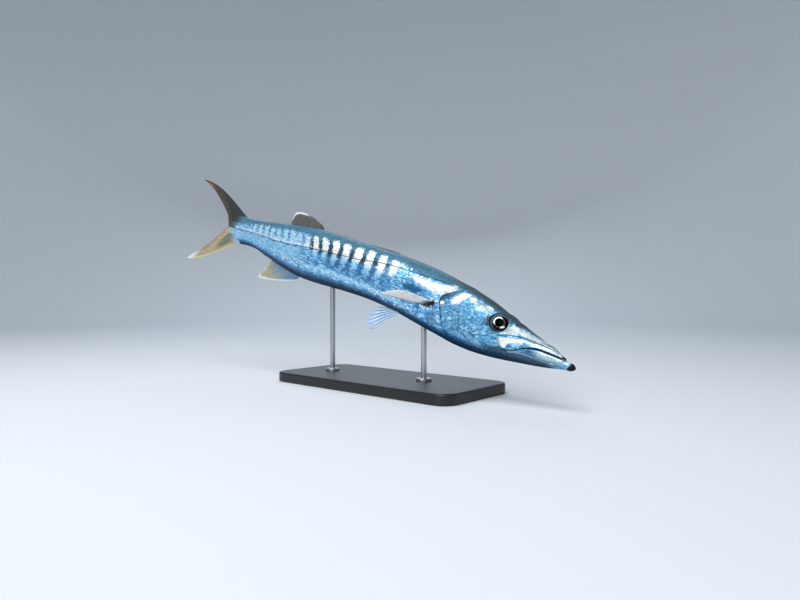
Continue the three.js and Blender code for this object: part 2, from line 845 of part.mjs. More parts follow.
// A rod with a round foot, standing on the base and fitted to the belly above it
function standRod(fish, posedFlesh, end) {
  const contact = lowestPoint(fish, ROD_STATIONS[end]);
  const top = contact.z + ROD_OVERRUN;
  const bottom = BASE_HEIGHT + GAP;
  const profile = [
    [0, bottom],
    [FOOT_RADIUS, bottom],
    [FOOT_RADIUS, bottom + FOOT_HEIGHT - FOOT_EDGE],
    [FOOT_RADIUS - FOOT_EDGE, bottom + FOOT_HEIGHT],
    [ROD_RADIUS, bottom + FOOT_HEIGHT],
    [ROD_RADIUS, top],
    [0, top],
  ].map(([r, z]) => new THREE.Vector2(r, z));
  const geometry = new THREE.LatheGeometry(profile, ROD_SEGMENTS);
  geometry.rotateX(Math.PI / 2);
  geometry.translate(contact.x, contact.y, 0);
  const rod = largestPiece(solidFrom(geometry).subtract(posedFlesh));
  return placedMesh("stand_rod_" + end, geometryFrom(rod), satinSteel);
}

const group = new THREE.Group();
const fish = fishGroup();
const posedFlesh = solidFrom(bend(geometryFrom(flesh)).applyMatrix4(fish.matrixWorld));
group.add(fish, standBase());
for (const end of Object.keys(ROD_STATIONS)) group.add(standRod(fish, posedFlesh, end));

export default group;
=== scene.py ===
# %% [markdown]
# # A barracuda, modelled life size as for a museum
# The fish was first built as plain solids in a CAD program. Here it gets its looks: one skin over the
# whole body, thousands of scales, rayed fins, glossy eyes, and a stand to hold it up.
# We start by loading those solids. They are the fixed frame that every new piece must fit.

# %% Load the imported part
import math

import bpy
import numpy as np
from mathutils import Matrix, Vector


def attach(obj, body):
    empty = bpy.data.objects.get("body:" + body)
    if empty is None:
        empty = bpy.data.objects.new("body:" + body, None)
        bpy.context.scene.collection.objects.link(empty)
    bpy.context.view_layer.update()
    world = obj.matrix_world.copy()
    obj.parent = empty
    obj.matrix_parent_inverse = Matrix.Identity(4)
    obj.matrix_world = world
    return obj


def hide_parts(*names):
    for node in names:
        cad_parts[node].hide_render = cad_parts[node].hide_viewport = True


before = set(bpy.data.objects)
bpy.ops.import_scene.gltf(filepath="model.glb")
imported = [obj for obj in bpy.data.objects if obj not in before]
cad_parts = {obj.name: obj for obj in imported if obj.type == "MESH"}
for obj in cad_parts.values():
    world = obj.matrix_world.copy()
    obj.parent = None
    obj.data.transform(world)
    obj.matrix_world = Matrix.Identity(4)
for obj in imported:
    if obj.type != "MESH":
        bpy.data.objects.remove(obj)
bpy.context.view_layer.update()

# %% [markdown]
# ## The pose
# Sculpting a bent, tilted fish directly is hard. It is easier to shape a straight one and bend it at
# the end. So every point below is given in millimetres on a straight fish: its station back from the
# lower jaw's tip, how far it lies to the fish's left, and its height over the body's axis. One function
# then bends the backbone, pitches the fish nose down, banks it, and gives metres in the frame.

# %% The straight fish and its pose
NOSE_DOWN = math.radians(20.5)
BANK = math.radians(-11.6)
SNOUT_HEIGHT = 66
BALANCE_STATION = 425
BEND_START = 270
TAIL_END = 1200
SPINE_STEP = 2
DROOP_PER_METRE = math.radians(12.66)
TAIL_SWING = math.radians(-8.9)
SWING_LENGTH = 810
METRES = 0.001


def spine_turns(length):
    """How far the backbone has swung to the left and drooped, a length behind the head"""
    return TAIL_SWING * (length / SWING_LENGTH) ** 2, -DROOP_PER_METRE * length / 1000


def spine_line():
    """Points along the bent backbone, one for each SPINE_STEP"""
    swing, droop = spine_turns(np.arange(0, TAIL_END - BEND_START, SPINE_STEP))
    along = np.stack([-np.cos(swing) * np.cos(droop), np.sin(swing) * np.cos(droop), np.sin(droop)], -1)
    start = np.array([[-BEND_START, 0, 0]])
    return np.vstack([start, start + np.cumsum(along, 0) * SPINE_STEP])


SPINE = spine_line()


def bent(points):
    """Points of the straight fish, carried along with its bent backbone"""
    station, left, up = np.moveaxis(np.asarray(points, float), -1, 0)
    length = np.clip(station - BEND_START, 0, None)
    swing, droop = spine_turns(length)
    place = length / SPINE_STEP
    at = np.stack([np.interp(place, np.arange(len(SPINE)), SPINE[:, k]) for k in range(3)], -1)
    at[..., 0] = np.where(station < BEND_START, -station, at[..., 0])
    leftward = np.stack([np.sin(swing), np.cos(swing), 0 * swing], -1)
    upward = np.stack([np.sin(droop) * np.cos(swing), -np.sin(droop) * np.sin(swing), np.cos(droop)], -1)
    return at + leftward * left[..., None] + upward * up[..., None]


def tilt_matrix():
    """Banks the fish, then pitches it nose down"""
    c, s = math.cos(NOSE_DOWN), math.sin(NOSE_DOWN)
    pitch = np.array([[c, 0, s], [0, 1, 0], [-s, 0, c]])
    c, s = math.cos(BANK), math.sin(BANK)
    return pitch @ np.array([[1, 0, 0], [0, c, -s], [0, s, c]])


TILT = tilt_matrix()
BALANCE = TILT @ bent([BALANCE_STATION, 0, 0])
STAND_POINT = np.array([-BALANCE[0], -BALANCE[1], SNOUT_HEIGHT])


def posed(points):
    """Points of the straight fish in millimetres, as metres in the frame"""
    return (bent(points) @ TILT.T + STAND_POINT) * METRES


print("snout at", posed([0, 0, 0]).round(4))

# %% [markdown]
# ## The camera
# The photograph looks at the fish's right flank from a little ahead and just above, with a wide lens,
# so the head looms large and the tail is small. The camera goes in first, because everything
# that follows is judged from it. It is level and stands over the floor.

# %% Camera
CAMERA_PLACE = (0.76252, -0.81581, 0.17184)
CAMERA_HEADING = math.radians(41.45)
LENS_MM = 25.2
SENSOR_MM = 36

camera_data = bpy.data.cameras.new("camera")
camera_data.lens = LENS_MM
camera_data.sensor_width = SENSOR_MM
camera = bpy.data.objects.new("camera", camera_data)
camera.location = CAMERA_PLACE
camera.rotation_euler = (math.pi / 2, 0, CAMERA_HEADING)
bpy.context.scene.collection.objects.link(camera)
bpy.context.scene.camera = camera
print("camera", [round(x, 3) for x in camera.location])

# %% [markdown]
# ## The body's shape
# A fish's trunk is nearly a row of ovals, so the skin is a loft: each section has a height above the
# axis, a depth below it, a half width, and how square its two halves are. A smooth curve
# runs through each column of the table, as a boat builder's batten would.

# %% Sections of the body
# Station, height, depth, half width, squareness of the upper and of the lower half, where 2 is an oval
SECTIONS = np.array([
    [0, 4.6, 5.4, 5.0, 2.0, 2.0],
    [20, 9.0, 10.2, 8.4, 2.2, 2.0],
    [45, 16.2, 19.0, 13.2, 2.5, 2.0],
    [90, 24.4, 31.4, 20.6, 2.9, 2.0],
    [140, 35.2, 43.4, 28.0, 3.5, 2.1],
    [190, 46.0, 50.2, 34.4, 2.9, 2.2],
    [240, 53.0, 51.8, 39.0, 2.5, 2.3],
    [300, 57.8, 50.6, 42.6, 2.3, 2.3],
    [370, 59.2, 47.8, 44.6, 2.2, 2.2],
    [440, 57.4, 48.6, 45.2, 2.1, 2.1],
    [520, 55.2, 54.2, 45.0, 2.1, 2.1],
    [600, 55.8, 61.2, 43.6, 2.1, 2.1],
    [660, 54.0, 62.6, 40.6, 2.0, 2.0],
    [720, 48.6, 56.2, 35.0, 2.0, 2.0],
    [780, 41.4, 45.4, 27.6, 2.1, 2.1],
    [840, 35.6, 34.6, 20.2, 2.3, 2.3],
    [885, 33.0, 31.6, 14.4, 2.6, 2.6],
    [910, 33.6, 33.0, 10.4, 2.8, 2.8],
    [945, 33.6, 33.0, 6.0, 3.0, 3.0],
])
TIP_ROUNDING = 8


def smoothstep(x, start, end):
    """Rises smoothly from 0 to 1"""
    t = np.clip((x - start) / (end - start), 0, 1)
    return t * t * (3 - 2 * t)


def fade(x, start, end):
    """Falls smoothly from 1 to 0"""
    return 1 - smoothstep(x, start, end)


def window(x, start, risen, falling, end):
    """Rises from 0 to 1, stays there and falls back to 0"""
    return smoothstep(x, start, risen) * fade(x, falling, end)


def curve_through(table, column):
    """A smooth curve through one column of a table whose first column is the station"""
    station, value = table[:, 0], table[:, column]
    before = np.maximum(np.arange(len(table)) - 1, 0)
    after = np.minimum(np.arange(len(table)) + 1, len(table) - 1)
    slope = (value[after] - value[before]) / (station[after] - station[before])

    def curve(at):
        at = np.clip(at, station[0], station[-1])
        i = np.clip(np.searchsorted(station, at), 1, len(table) - 1)
        span = station[i] - station[i - 1]
        t = (at - station[i - 1]) / span
        blend = value[i - 1] * (1 - t) ** 2 * (1 + 2 * t) + value[i] * t**2 * (3 - 2 * t)
        return blend + span * t * (1 - t) * (slope[i - 1] * (1 - t) - slope[i] * t)

    return curve


SECTION_CURVES = [curve_through(SECTIONS, column) for column in range(1, 6)]


def section(station):
    """Height, depth, half width and the two squareness powers at each station"""
    up, down, half, top_power, bottom_power = [curve(station) for curve in SECTION_CURVES]
    dome = np.sqrt(1 - (1 - np.clip(station / TIP_ROUNDING, 0, 1)) ** 2)
    return up * dome, down * dome, half * dome, top_power, bottom_power


def half_width(station, height):
    """How far the flank lies from the middle plane at a station and height"""
    up, down, half, top_power, bottom_power = section(np.asarray(station, float))
    power = np.where(height > 0, top_power, bottom_power)
    reach = np.clip(np.abs(height) / np.where(height > 0, up, down), 0, 1)
    return half * (1 - reach**power) ** (1 / power)


# %% [markdown]
# The rings of the loft are spaced evenly round the girth, which a plain angle doesn't do on a
# square section. `around` runs from the belly's middle up the right flank, over the back and down the
# left flank, from 0 to 1.

# %% Rings of the body
FINE_ANGLES = np.radians(np.linspace(-90, -450, 1441))


def ring(station, around):
    """Points of the plain body at one station, at shares of its girth"""
    up, down, half, top_power, bottom_power = section(np.array(float(station)))
    side, rise = np.cos(FINE_ANGLES), np.sin(FINE_ANGLES)
    power = 2 / np.where(rise > 0, top_power, bottom_power)
    y = half * np.sign(side) * np.abs(side) ** power
    z = np.where(rise > 0, up, down) * np.sign(rise) * np.abs(rise) ** power
    length = np.concatenate([[0], np.cumsum(np.hypot(np.diff(y), np.diff(z)))])
    place = around * length[-1]
    across, height = np.interp(place, length, y), np.interp(place, length, z)
    return np.stack([np.full(len(around), float(station)), across, height], -1)


def outward_normals(grid):
    """Outward directions of a grid of rings in the straight fish's frame"""
    along = np.gradient(grid, axis=0)
    across = np.roll(grid, -1, axis=1) - np.roll(grid, 1, axis=1)
    normal = np.cross(along, across)
    normal /= np.linalg.norm(normal, axis=-1, keepdims=True) + 1e-12
    outwards = np.sum(normal[..., 1:] * grid[..., 1:], -1, keepdims=True)
    return normal * np.sign(np.where(outwards == 0, 1, outwards))


# %% [markdown]
# ## Small helpers
# Meshes are built as arrays of points and faces, which is quick for many small things. A
# piece gets its name, its material slot and the body it rides on in one place.

# %% Making a piece
SIDES = ((-1, "right"), (1, "left"))


def new_object(name, points, faces, material, smooth=True):
    """A mesh object in the scene, all in one material"""
    mesh = bpy.data.meshes.new(name)
    faces = faces if isinstance(faces, list) else faces.tolist()
    mesh.from_pydata(np.asarray(points).reshape(-1, 3).tolist(), [], faces)
    mesh.polygons.foreach_set("use_smooth", [smooth] * len(mesh.polygons))
    mesh.materials.append(material)
    mesh.update()
    thing = bpy.data.objects.new(name, mesh)
    bpy.context.scene.collection.objects.link(thing)
    print(name, len(mesh.vertices), "points,", len(mesh.polygons), "faces")
    return thing


def new_piece(name, points, faces, material, replaces=(), smooth=True):
    """A mesh object in the frame, riding on the part's one body"""
    piece = new_object(name, points, faces, material, smooth)
    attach(piece, "root")
    if replaces:
        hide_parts(*replaces)
    return piece


def set_values(piece, **values):
    """Store named values on a piece's points, for its material to read"""
    for name, value in values.items():
        value = np.asarray(value, np.float32)
        kind, field = ("FLOAT_VECTOR", "vector") if value.ndim == 2 else ("FLOAT", "value")
        piece.data.attributes.new(name, kind, "POINT").data.foreach_set(field, value.ravel())


def corner_points(piece):
    """Which point each face corner belongs to"""
    index = np.empty(len(piece.data.loops), int)
    piece.data.loops.foreach_get("vertex_index", index)
    return index


def set_uv(piece, corners):
    """The map that the materials are baked on, one pair for each face corner"""
    layer = piece.data.uv_layers.new(name="OFBake")
    layer.data.foreach_set("uv", np.asarray(corners, np.float32).ravel())


def grid_faces(rows, columns, closed=False):
    """Quads of a grid of points, whose last column joins the first where it is closed"""
    i, j = np.meshgrid(np.arange(rows - 1), np.arange(columns if closed else columns - 1), indexing="ij")
    k = (j + 1) % columns
    corners = [i * columns + j, i * columns + k, (i + 1) * columns + k, (i + 1) * columns + j]
    return np.stack(corners, -1).reshape(-1, 4)


def capped_faces(rows, columns):
    """Faces of closed rings, with a fan at each end to the two points that follow the rings"""
    this = np.arange(columns)
    following, last, start = (this + 1) % columns, (rows - 1) * columns, rows * columns
    faces = grid_faces(rows, columns, closed=True).tolist()
    faces += np.stack([np.full(columns, start), following, this], -1).tolist()
    return faces + np.stack([np.full(columns, start + 1), last + this, last + following], -1).tolist()


# %% [markdown]
# Colours are given as they look on a screen, in sRGB hex. Blender's shaders work in linear light, so
# one function turns them. Another adds a node with its settings and its inputs, so that a material
# reads as a list of what it is made of. The Standard view shows these colours as they were chosen.

# %% Making a material
# The colour sockets of a mix node, by number
MIX_A, MIX_B, MIX_RESULT = 6, 7, 2
bpy.context.scene.view_settings.view_transform = "Standard"


def linear(hex_colour):
    channels = [int(hex_colour[i : i + 2], 16) / 255 for i in (1, 3, 5)]
    return [c / 12.92 if c <= 0.04045 else ((c + 0.055) / 1.055) ** 2.4 for c in channels] + [1.0]


def new_material(name):
    material = bpy.data.materials.new(name)
    material.use_nodes = True
    material.node_tree.nodes.clear()
    return material, material.node_tree


def add(tree, kind, inputs=None, **settings):
    """Add one node with its settings. An input is set to a value, or linked to another node's output"""
    node = tree.nodes.new("ShaderNode" + kind)
    for name, value in settings.items():
        setattr(node, name, value)
    for name, value in (inputs or {}).items():
        if isinstance(value, bpy.types.NodeSocket):
            tree.links.new(value, node.inputs[name])
        else:
            node.inputs[name].default_value = value
    return node


# %% [markdown]
# ## Drawing on the side view
# Markings, plates and creases are all drawn on the side view, in station and height. Two measures turn
# a drawn line into paint or relief: how far a point is from it, and whether a point lies inside a
# closed outline.

# %% Lines on the side view
def smooth_line(points, count, closed=False):
    """Points along a smooth curve through a few given ones"""
    points = np.asarray(points, float)
    if closed:
        padded = np.vstack([points[-1], points, points[:2]])
    else:
        padded = np.vstack([2 * points[0] - points[1], points, 2 * points[-1] - points[-2]])
    spans = len(padded) - 3
    t = np.linspace(0, spans, count, endpoint=not closed)
    i = np.minimum(t.astype(int), spans - 1)
    f = (t - i)[:, None]
    a, b, c, d = padded[i], padded[i + 1], padded[i + 2], padded[i + 3]
    return 0.5 * (2 * b + (c - a) * f + (2 * a - 5 * b + 4 * c - d) * f**2 + (3 * b - a - 3 * c + d) * f**3)


def distance_to(line, station, height, closed=False):
    """Distance of each point from a line, and how far along it the nearest place is, from 0 to 1"""
    best = np.full(station.shape, np.inf)
    share = np.zeros(station.shape)
    ends = np.vstack([line, line[:1]]) if closed else line
    count = len(ends) - 1
    for k in range(count):
        (s0, z0), (s1, z1) = ends[k], ends[k + 1]
        ds, dz = s1 - s0, z1 - z0
        t = np.clip(((station - s0) * ds + (height - z0) * dz) / (ds * ds + dz * dz + 1e-12), 0, 1)
        away = np.hypot(station - s0 - t * ds, height - z0 - t * dz)
        nearer = away < best
        best = np.where(nearer, away, best)
        share = np.where(nearer, (k + t) / count, share)
    return best, share


def inside(outline, station, height):
    """True where a point lies inside a closed outline"""
    result = np.zeros(station.shape, bool)
    for (s0, z0), (s1, z1) in zip(outline, np.roll(outline, -1, axis=0)):
        crosses = (z0 > height) != (z1 > height)
        at = s0 + (height - z0) * (s1 - s0) / (z1 - z0 if z1 != z0 else 1e-12)
        result ^= crosses & (station < at)
    return result


def signed_distance(points, station, height):
    """Distance from a closed outline, positive inside it"""
    outline = smooth_line(points, 6 * len(points), closed=True)
    away, _ = distance_to(outline, station, height, closed=True)
    return np.where(inside(outline, station, height), away, -away)


def groove(away, width):
    return np.exp(-((away / width) ** 2))


# %% [markdown]
# ## The markings
# A barracuda is a dark-backed, silver-sided fish with a row of dark bars on its upper flank. The
# skin and the scales over it must carry the same pattern, so one function works it out from the place
# on the straight fish, and each piece stores the result on its points. The materials turn it
# into colour. Edges follow smooth curves through a few points read off the side view.

# %% Lines of the markings
# Station and height of the dark back's lower edge
BACK_EDGE = np.array([
    [0, 14], [42, 13.5], [67, 18], [100, 26.5], [120, 31], [150, 34.5], [170, 37], [200, 41],
    [225, 42], [250, 39], [280, 37], [320, 37], [348, 41], [372, 45], [441, 45], [495, 42],
    [549, 39], [603, 36], [660, 33], [720, 30], [770, 27], [850, 25], [945, 24],
])
# Station and height of the lateral line
LATERAL_LINE = np.array([
    [236, 44], [300, 38.5], [377, 33.5], [400, 31], [435, 25.5], [470, 19], [510, 15], [542, 12], [590, 8],
    [630, 5], [670, 1], [702, -1], [742, -2.4], [770, -1.6], [810, 0], [850, 0.4], [890, 1.6], [945, 3],
])
# Stations of the pale patches between the bars, where they stand highest over the lateral line
PALE_PATCHES = [
    304, 340, 372, 406, 439, 473, 507, 537, 569, 599, 630, 657, 685, 711, 739, 765, 790, 817, 843, 869,
]
PATCH_HEIGHT = 18
PATCH_BOTTOM = 13
# The bars lean back by LEAN times the square of the height over LEAN_FROM
LEAN_FROM = -5
LEAN = 0.0055
# A pale band runs along the lower flank, at this share of the body's depth. It is pale silver with painted
# highlights: scales flashing in the light
LOW_BAND = 0.52
back_edge = curve_through(BACK_EDGE, 1)
lateral_height = curve_through(LATERAL_LINE, 1)


def spot(station, height, at, size, turn=0):
    """A soft oval spot, from 1 in its middle to 0 outside"""
    c, s = math.cos(math.radians(turn)), math.sin(math.radians(turn))
    across, up = station - at[0], height - at[1]
    return fade(np.hypot((across * c + up * s) / size[0], (up * c - across * s) / size[1]), 0.45, 1.15)


def patch(station, height, outline, soft):
    """A patch with a soft edge, from 1 inside its outline to 0 outside"""
    return smoothstep(signed_distance(outline, station, height), -soft, soft)


def strokes(station, height, lines):
    """Soft strokes along lines, each with its width and strength, thinning out at both ends"""
    result = 0 * station
    for line, width, strength in lines:
        away, share = distance_to(smooth_line(line, 20), station, height)
        ends = window(share, 0, 0.15, 0.85, 1)
        result = np.maximum(result, strength * ends * groove(away, width))
    return result


def most(*masks):
    return np.max(np.stack(np.broadcast_arrays(*masks)), axis=0)


# %% [markdown]
# Each marking is a mask from 0 to 1. The bars come from the count of pale patches passed so far: halfway
# between two patches the count is at a half, and the bar is darkest. The bars are fingers of the dark
# back. They lean back towards the top, are darkest at the lateral line, and end in broad blue shadows
# below it. On the rear half they stop at the line.

# %% Bars and pale patches
def bar_masks(station, height):
    """Bars, the shadows below them, the patches between, the patches' tails, and the back's fingers"""
    lean = LEAN * (1 + 1.6 * smoothstep(station, 470, 600))
    lean = lean * (np.maximum(height - LEAN_FROM, 0) ** 2 - (PATCH_HEIGHT - LEAN_FROM) ** 2)
    count = np.interp(station - lean, PALE_PATCHES, np.arange(len(PALE_PATCHES)))
    wave = 0.5 - 0.5 * np.cos(2 * math.pi * count)
    over_line = height - lateral_height(station)
    over_bottom = height - np.minimum(lateral_height(station) - 1, PATCH_BOTTOM)
    front, rear = smoothstep(station, 352, 405), smoothstep(station, 575, 665)
    bars = smoothstep(wave, 0.42, 0.86) * smoothstep(over_line, -13 + 13 * rear, -3 + 8 * rear)
    bars *= front * (1 - 0.75 * rear) * (1 - 0.5 * smoothstep(height, 24, 38)) * fade(station, 840, 880)
    shadows = smoothstep(wave, 0.3, 0.8) * smoothstep(height, -24, -8) * fade(over_line, -6, 6)
    shadows *= front * fade(station, 540, 610)
    patches = smoothstep(1 - wave, 0.14, 0.6) * smoothstep(over_bottom, -8, 4)
    patches = patches * smoothstep(station, 335, 400)
    patches *= fade(station, 845, 885) * fade(height - back_edge(station), -5, 3)
    tails = smoothstep(1 - wave, 0.3, 0.8) * window(over_bottom, -24, -8, 0, 4) * front * (1 - rear)
    return bars, shadows, patches, tails, wave * front


# %% [markdown]
# The head's silver comes in fine streaks along the jaws and round the eye, with dark lines between them. The
# brightest streaks, such as the band along the upper jaw, are real silver with a painted highlight on it.
# Broader patches lie on the snout and the gill cover, and the white over the shoulder is a painted highlight.
# All are read off the side view.

# %% Strokes and patches of the head
# Each stroke: its line, width and strength
SILVER_STROKES = [
    ([[22, 8.4], [32, 9.6], [45, 9.6], [60, 8.4], [75, 6.4], [92, 5]], 2.5, 1.1),
    ([[33, 13], [50, 13.8], [66, 13.2], [82, 11.6]], 1.0, 0.55),
    ([[50, 17.4], [64, 18.4], [82, 18], [98, 16.4]], 1.7, 0.65),
    ([[84, 21.4], [98, 22], [113, 20]], 1.6, 0.6),
    ([[98, 12.2], [109, 9], [124, 4.4], [131, 0]], 1.8, 1.0),
    ([[8, 4.6], [18, 4.4], [34, 3.2], [50, 1.7], [66, -0.8]], 1.8, 1.0),
    ([[24, -1.6], [45, -3.4], [64, -5]], 2.4, 0.5),
    ([[54, -10.4], [80, -13.3], [96, -17], [113, -22]], 1.2, 0.6),
    ([[176, -16], [188, -17], [200, -15]], 2.2, 0.55),
    ([[156, -25], [168, -30], [184, -33]], 4, 0.4),
    ([[124, -16], [136, -22], [146, -24]], 3, 0.3),
]
# Dark strokes: dark lines of the head, and painted shade along the preopercle's crease and the gill cover's
# lower edge
DARK_STROKES = [
    ([[26, 12.2], [45, 12.1], [62, 11], [76, 8.8], [90, 4.6]], 0.9, 0.9),
    ([[40, 15.6], [60, 16], [92, 14.8]], 1.1, 0.75),
    ([[64, 20.2], [84, 20], [102, 18.4]], 1.1, 0.6),
    ([[216, 28], [215, 10], [211, -6], [204, -20], [190, -31]], 1.3, 0.55),
    ([[166, -20.6], [173, -19.4], [180, -17.4]], 1.7, 1.0),
    ([[250, 2], [244, -10], [237, -24], [226, -35]], 1.4, 0.8),
]
SNOUT_SILVER = [[44, 12], [72, 11], [100, 10], [122, 3], [132, 3], [124, 14], [114, 23], [96, 23], [66, 19]]
COVER_WHITE = [[206, 40], [217, 39], [225, 30], [233, 18], [230, 11], [222, 13], [215, 21], [210, 30]]
# A painted highlight: the white shine over the shoulder, where light from above falls
SHOULDER_HIGHLIGHT = [
    [234, 44], [246, 40], [262, 36], [285, 33], [310, 32], [330, 29],
    [322, 23], [302, 19], [276, 16], [258, 18], [248, 29], [239, 39],
]
MAXILLA_WHITE = [
    [128, -6], [120, -2.5], [112, 0.5], [103, 3.6], [92, 7], [84, 8], [88, 3.5],
    [98, -1], [106, -5.5], [111, -10], [113, -16], [118, -17.5], [124, -13.5],
]
UPPER_TIP = [[7, 14], [10, 8.4], [14, 6.2], [20, 5.6], [26, 6.8], [23, 10], [19, 14]]
JAW_BLUE = [
    [62, -3], [74, -3], [85, -9], [98, -17], [108, -21], [100, -19.5], [84, -15.5], [68, -12], [58, -8],
]
GILL_SHADOW = [[247, -13], [262, -13], [271, -20], [269, -33], [256, -39], [245, -35], [241, -25]]
JAW_SILVER = [[10, 4], [40, 3], [64, -1], [70, -6], [54, -8], [30, -5], [12, -2]]
COVER_DARK = [[221, 40], [232, 41], [245, 29], [256, 15], [250, 10], [241, 16], [234, 24], [227, 33]]
# The soft spots of each layer: strength, middle, reach along and across, and a turn in degrees
SPOTS = {
    "deep": [
        (0.85, (318, 8), (30, 9), -4),
        (0.6, (107, -10.5), (6, 4.6), -30),
        (0.35, (204, -10), (14, 18), 20),
        (0.4, (172, 6), (20, 14)),
    ],
    # The three shade spots are painted shade round the eye: before it, behind it and below it
    "shade": [(0.7, (124, 26), (10, 7), -30), (0.5, (157, 12), (9, 16)), (0.5, (145, -2), (16, 6))],
    "sage": [(0.7, (174, 28), (24, 8), 8), (0.6, (52, 14), (26, 4), 12), (0.7, (40, -5.5), (32, 5.5), -12)],
    "sky": [(0.7, (98, -2), (15, 5.5), -40)],
    "silver": [
        (0.9, (163, 32.5), (9, 2.8), 14),
        (0.5, (177, 24), (15, 6)),
        (0.8, (196, 34), (6, 5)),
        (0.5, (94, -1.5), (15, 4.5), -40),
        (0.35, (905, -12), (40, 13), -6),
    ],
    "pale_and_highlight": [(0.95, (247, 7), (7, 4), -10), (0.9, (263, 3.5), (9, 3), -8), (0.7, (282, -13), (9, 2.4))],
    "umber": [
        (0.65, (112, 29), (18, 4), 15),
        (0.5, (178, 32), (9, 5)),
        # Painted shade behind the eye, in a purple grey
        (0.55, (158, 13), (8, 15)),
        (0.5, (66, -18), (16, 4), -18),
    ],
    "black": [(1, (272, -4), (20, 8), -20), (0.8, (256, 13.5), (5, 2))],
}
# The patches of each layer: strength, outline, and how soft its edge is
PATCHES = {
    "deep": [(0.5, JAW_BLUE, 2.5), (0.45, GILL_SHADOW, 5)],
    "shade": [(1, COVER_DARK, 2.2), (0.45, GILL_SHADOW, 5), (0.55, JAW_BLUE, 3)],
    "sage": [(0.8, SNOUT_SILVER, 4)],
    "silver": [(0.42, SNOUT_SILVER, 4), (0.4, JAW_SILVER, 3)],
    "pale_and_highlight": [(1, MAXILLA_WHITE, 3), (0.8, COVER_WHITE, 3.5), (0.75, SHOULDER_HIGHLIGHT, 6)],
    "black": [(1, UPPER_TIP, 1.2)],
}

# %% [markdown]
# The drawn spots and patches join the shapes that follow the body: the dark back, the belly's painted
# shade, the bars and the pale bands. Where two shapes of one layer overlap, the stronger one shows. The back
# and the black parts are also dull, as they hold no guanine to mirror the light, and so is the belly's
# painted shade.

# %% All markings
def drawn(layer, station, height):
    """The spots and patches of one layer"""
    spots = [strength * spot(station, height, *place) for strength, *place in SPOTS.get(layer, [])]
    patches = [strength * patch(station, height, *shape) for strength, *shape in PATCHES.get(layer, [])]
    return spots + patches


def markings(points):
    """How far each marking covers each point of the straight fish"""
    station, _, height = np.moveaxis(np.asarray(points, float), -1, 0)
    up, down, _, _, _ = section(station)
    rise, depth = height / np.maximum(up, 1), -height / np.maximum(down, 1)
    over_line, over_band = height - lateral_height(station), height + LOW_BAND * down
    bars, shadows, patches, tails, fingers = bar_masks(station, height)
    body, rear = smoothstep(station, 222, 262), smoothstep(station, 590, 670)
    jaw, off_tip = fade(station, 120, 190), smoothstep(station, 15, 50)
    band = window(station, 290, 340, 600, 700)
    crown = smoothstep(rise, 0.68, 0.97) * smoothstep(station, 22, 36)
    mantle = smoothstep(height - back_edge(station) + 9 * fingers * (1 - rear), -4, 4)
    ridge = smoothstep(rise, 0.86, 1.0) * smoothstep(station, 30, 60)
    stalk = smoothstep(over_line, 6, 16) * smoothstep(station, 640, 760)
    lower_rear = rear * window(over_line, -56, -20, -5, 0) * fade(depth, 0.55, 0.8)
    shapes = {
        "deep": [
            0.62 * shadows,
            0.45 * window(height, -26, -17, -8, 3) * window(station, 330, 380, 530, 610),
            # Painted shade: the lower flank darkens to deep blue towards the belly
            0.8 * (1 - jaw) * smoothstep(depth, 0.56, 0.8),
        ],
        "shade": [
            0.8 * jaw * smoothstep(depth, 0.36, 0.6) * off_tip,
            0.45 * stalk,
            0.9 * strokes(station, height, DARK_STROKES),
        ],
        "bars": [bars],
        # Painted shade: the belly is darkened to deep blue as if in shade under the fish; the fish's own
        # belly is pale silver
        "belly": [smoothstep(depth, 0.7 - 0.1 * jaw, 0.92) * off_tip],
        "back": [0.95 * (1 - body) * crown + 0.8 * body * mantle],
        "sage": [],
        "sky": [
            0.9 * tails,
            0.66 * lower_rear,
            0.75 * patches * rear,
            0.5 * rear * smoothstep(over_line, 0, 2) * fade(over_line, 8, 26),
            0.7 * groove(over_band, 7) * band,
        ],
        "silver": [
            strokes(station, height, SILVER_STROKES),
            0.3 * groove(over_band, 5) * band,
            0.35 * tails,
            0.48 * patches * rear,
            0.85 * groove(over_line - 3.6, 2.0) * smoothstep(station, 560, 640),
            0.25 * lower_rear,
        ],
        # The pale patches between the bars, paler silver painted near white as a highlight where light from
        # above catches them
        "pale_and_highlight": [patches * (1 - 0.85 * rear)],
        "umber": [0.5 * smoothstep(rise, 0.72, 0.95) * window(station, 60, 110, 240, 330)],
        "black": [
            fade(station + 0.3 * height, 7, 13),
            0.45 * ridge,
            # Painted shade: the underside and the lower jaw's underside go nearly black
            0.65 * smoothstep(depth, 0.84 - 0.1 * jaw, 1.0),
            0.42 * jaw * smoothstep(depth, 0.42, 0.75) * off_tip,
        ],
    }
    masks = {layer: most(*shapes[layer], *drawn(layer, station, height)) for layer in shapes}
    masks["dull"] = most(masks["belly"], 0.7 * masks["back"], 0.8 * masks["black"])
    return masks


# %% [markdown]
# ## Skin and scale material
# What it is: clear scales over skin that is filled with thin plates of guanine, which mirror light, all under
# a film of slime. It is made as a partly metallic paint with a wet clear coat. The markings are painted over
# each other in order, and two noises break them up: one at the size of a few scales, and a finer one
# that makes their edges ragged, as each scale is either dark or light.

# %% Silver skin and scales
RAGGED_MM = 2.4
BROAD_MM = 40
BROAD_STRENGTH = 0.3
FINE_STRENGTH = 0.24
MASK_EDGE = (0.18, 0.82)
# The silver's blue, in the base and the tones, is partly its own cool tint and partly a painted reflection of
# blue surroundings
# The lighter tones over the base, each with the two noise values it comes in between
FLANK_TONES = [("#6fb5e6", 0.34, 0.49), ("#c2e9fb", 0.53, 0.71)]
HEAD_TONES = [("#68a7cd", 0.35, 0.52), ("#badeee", 0.57, 0.75)]
SHADED_FROM, SHADED_TO = (0.35, 0.65), (0.72, 1.25)
SHADING_STRENGTH = 0.8
DULL_ROUGHNESS = 0.45
DULL_METAL = 0.05
WET_COAT = 0.25
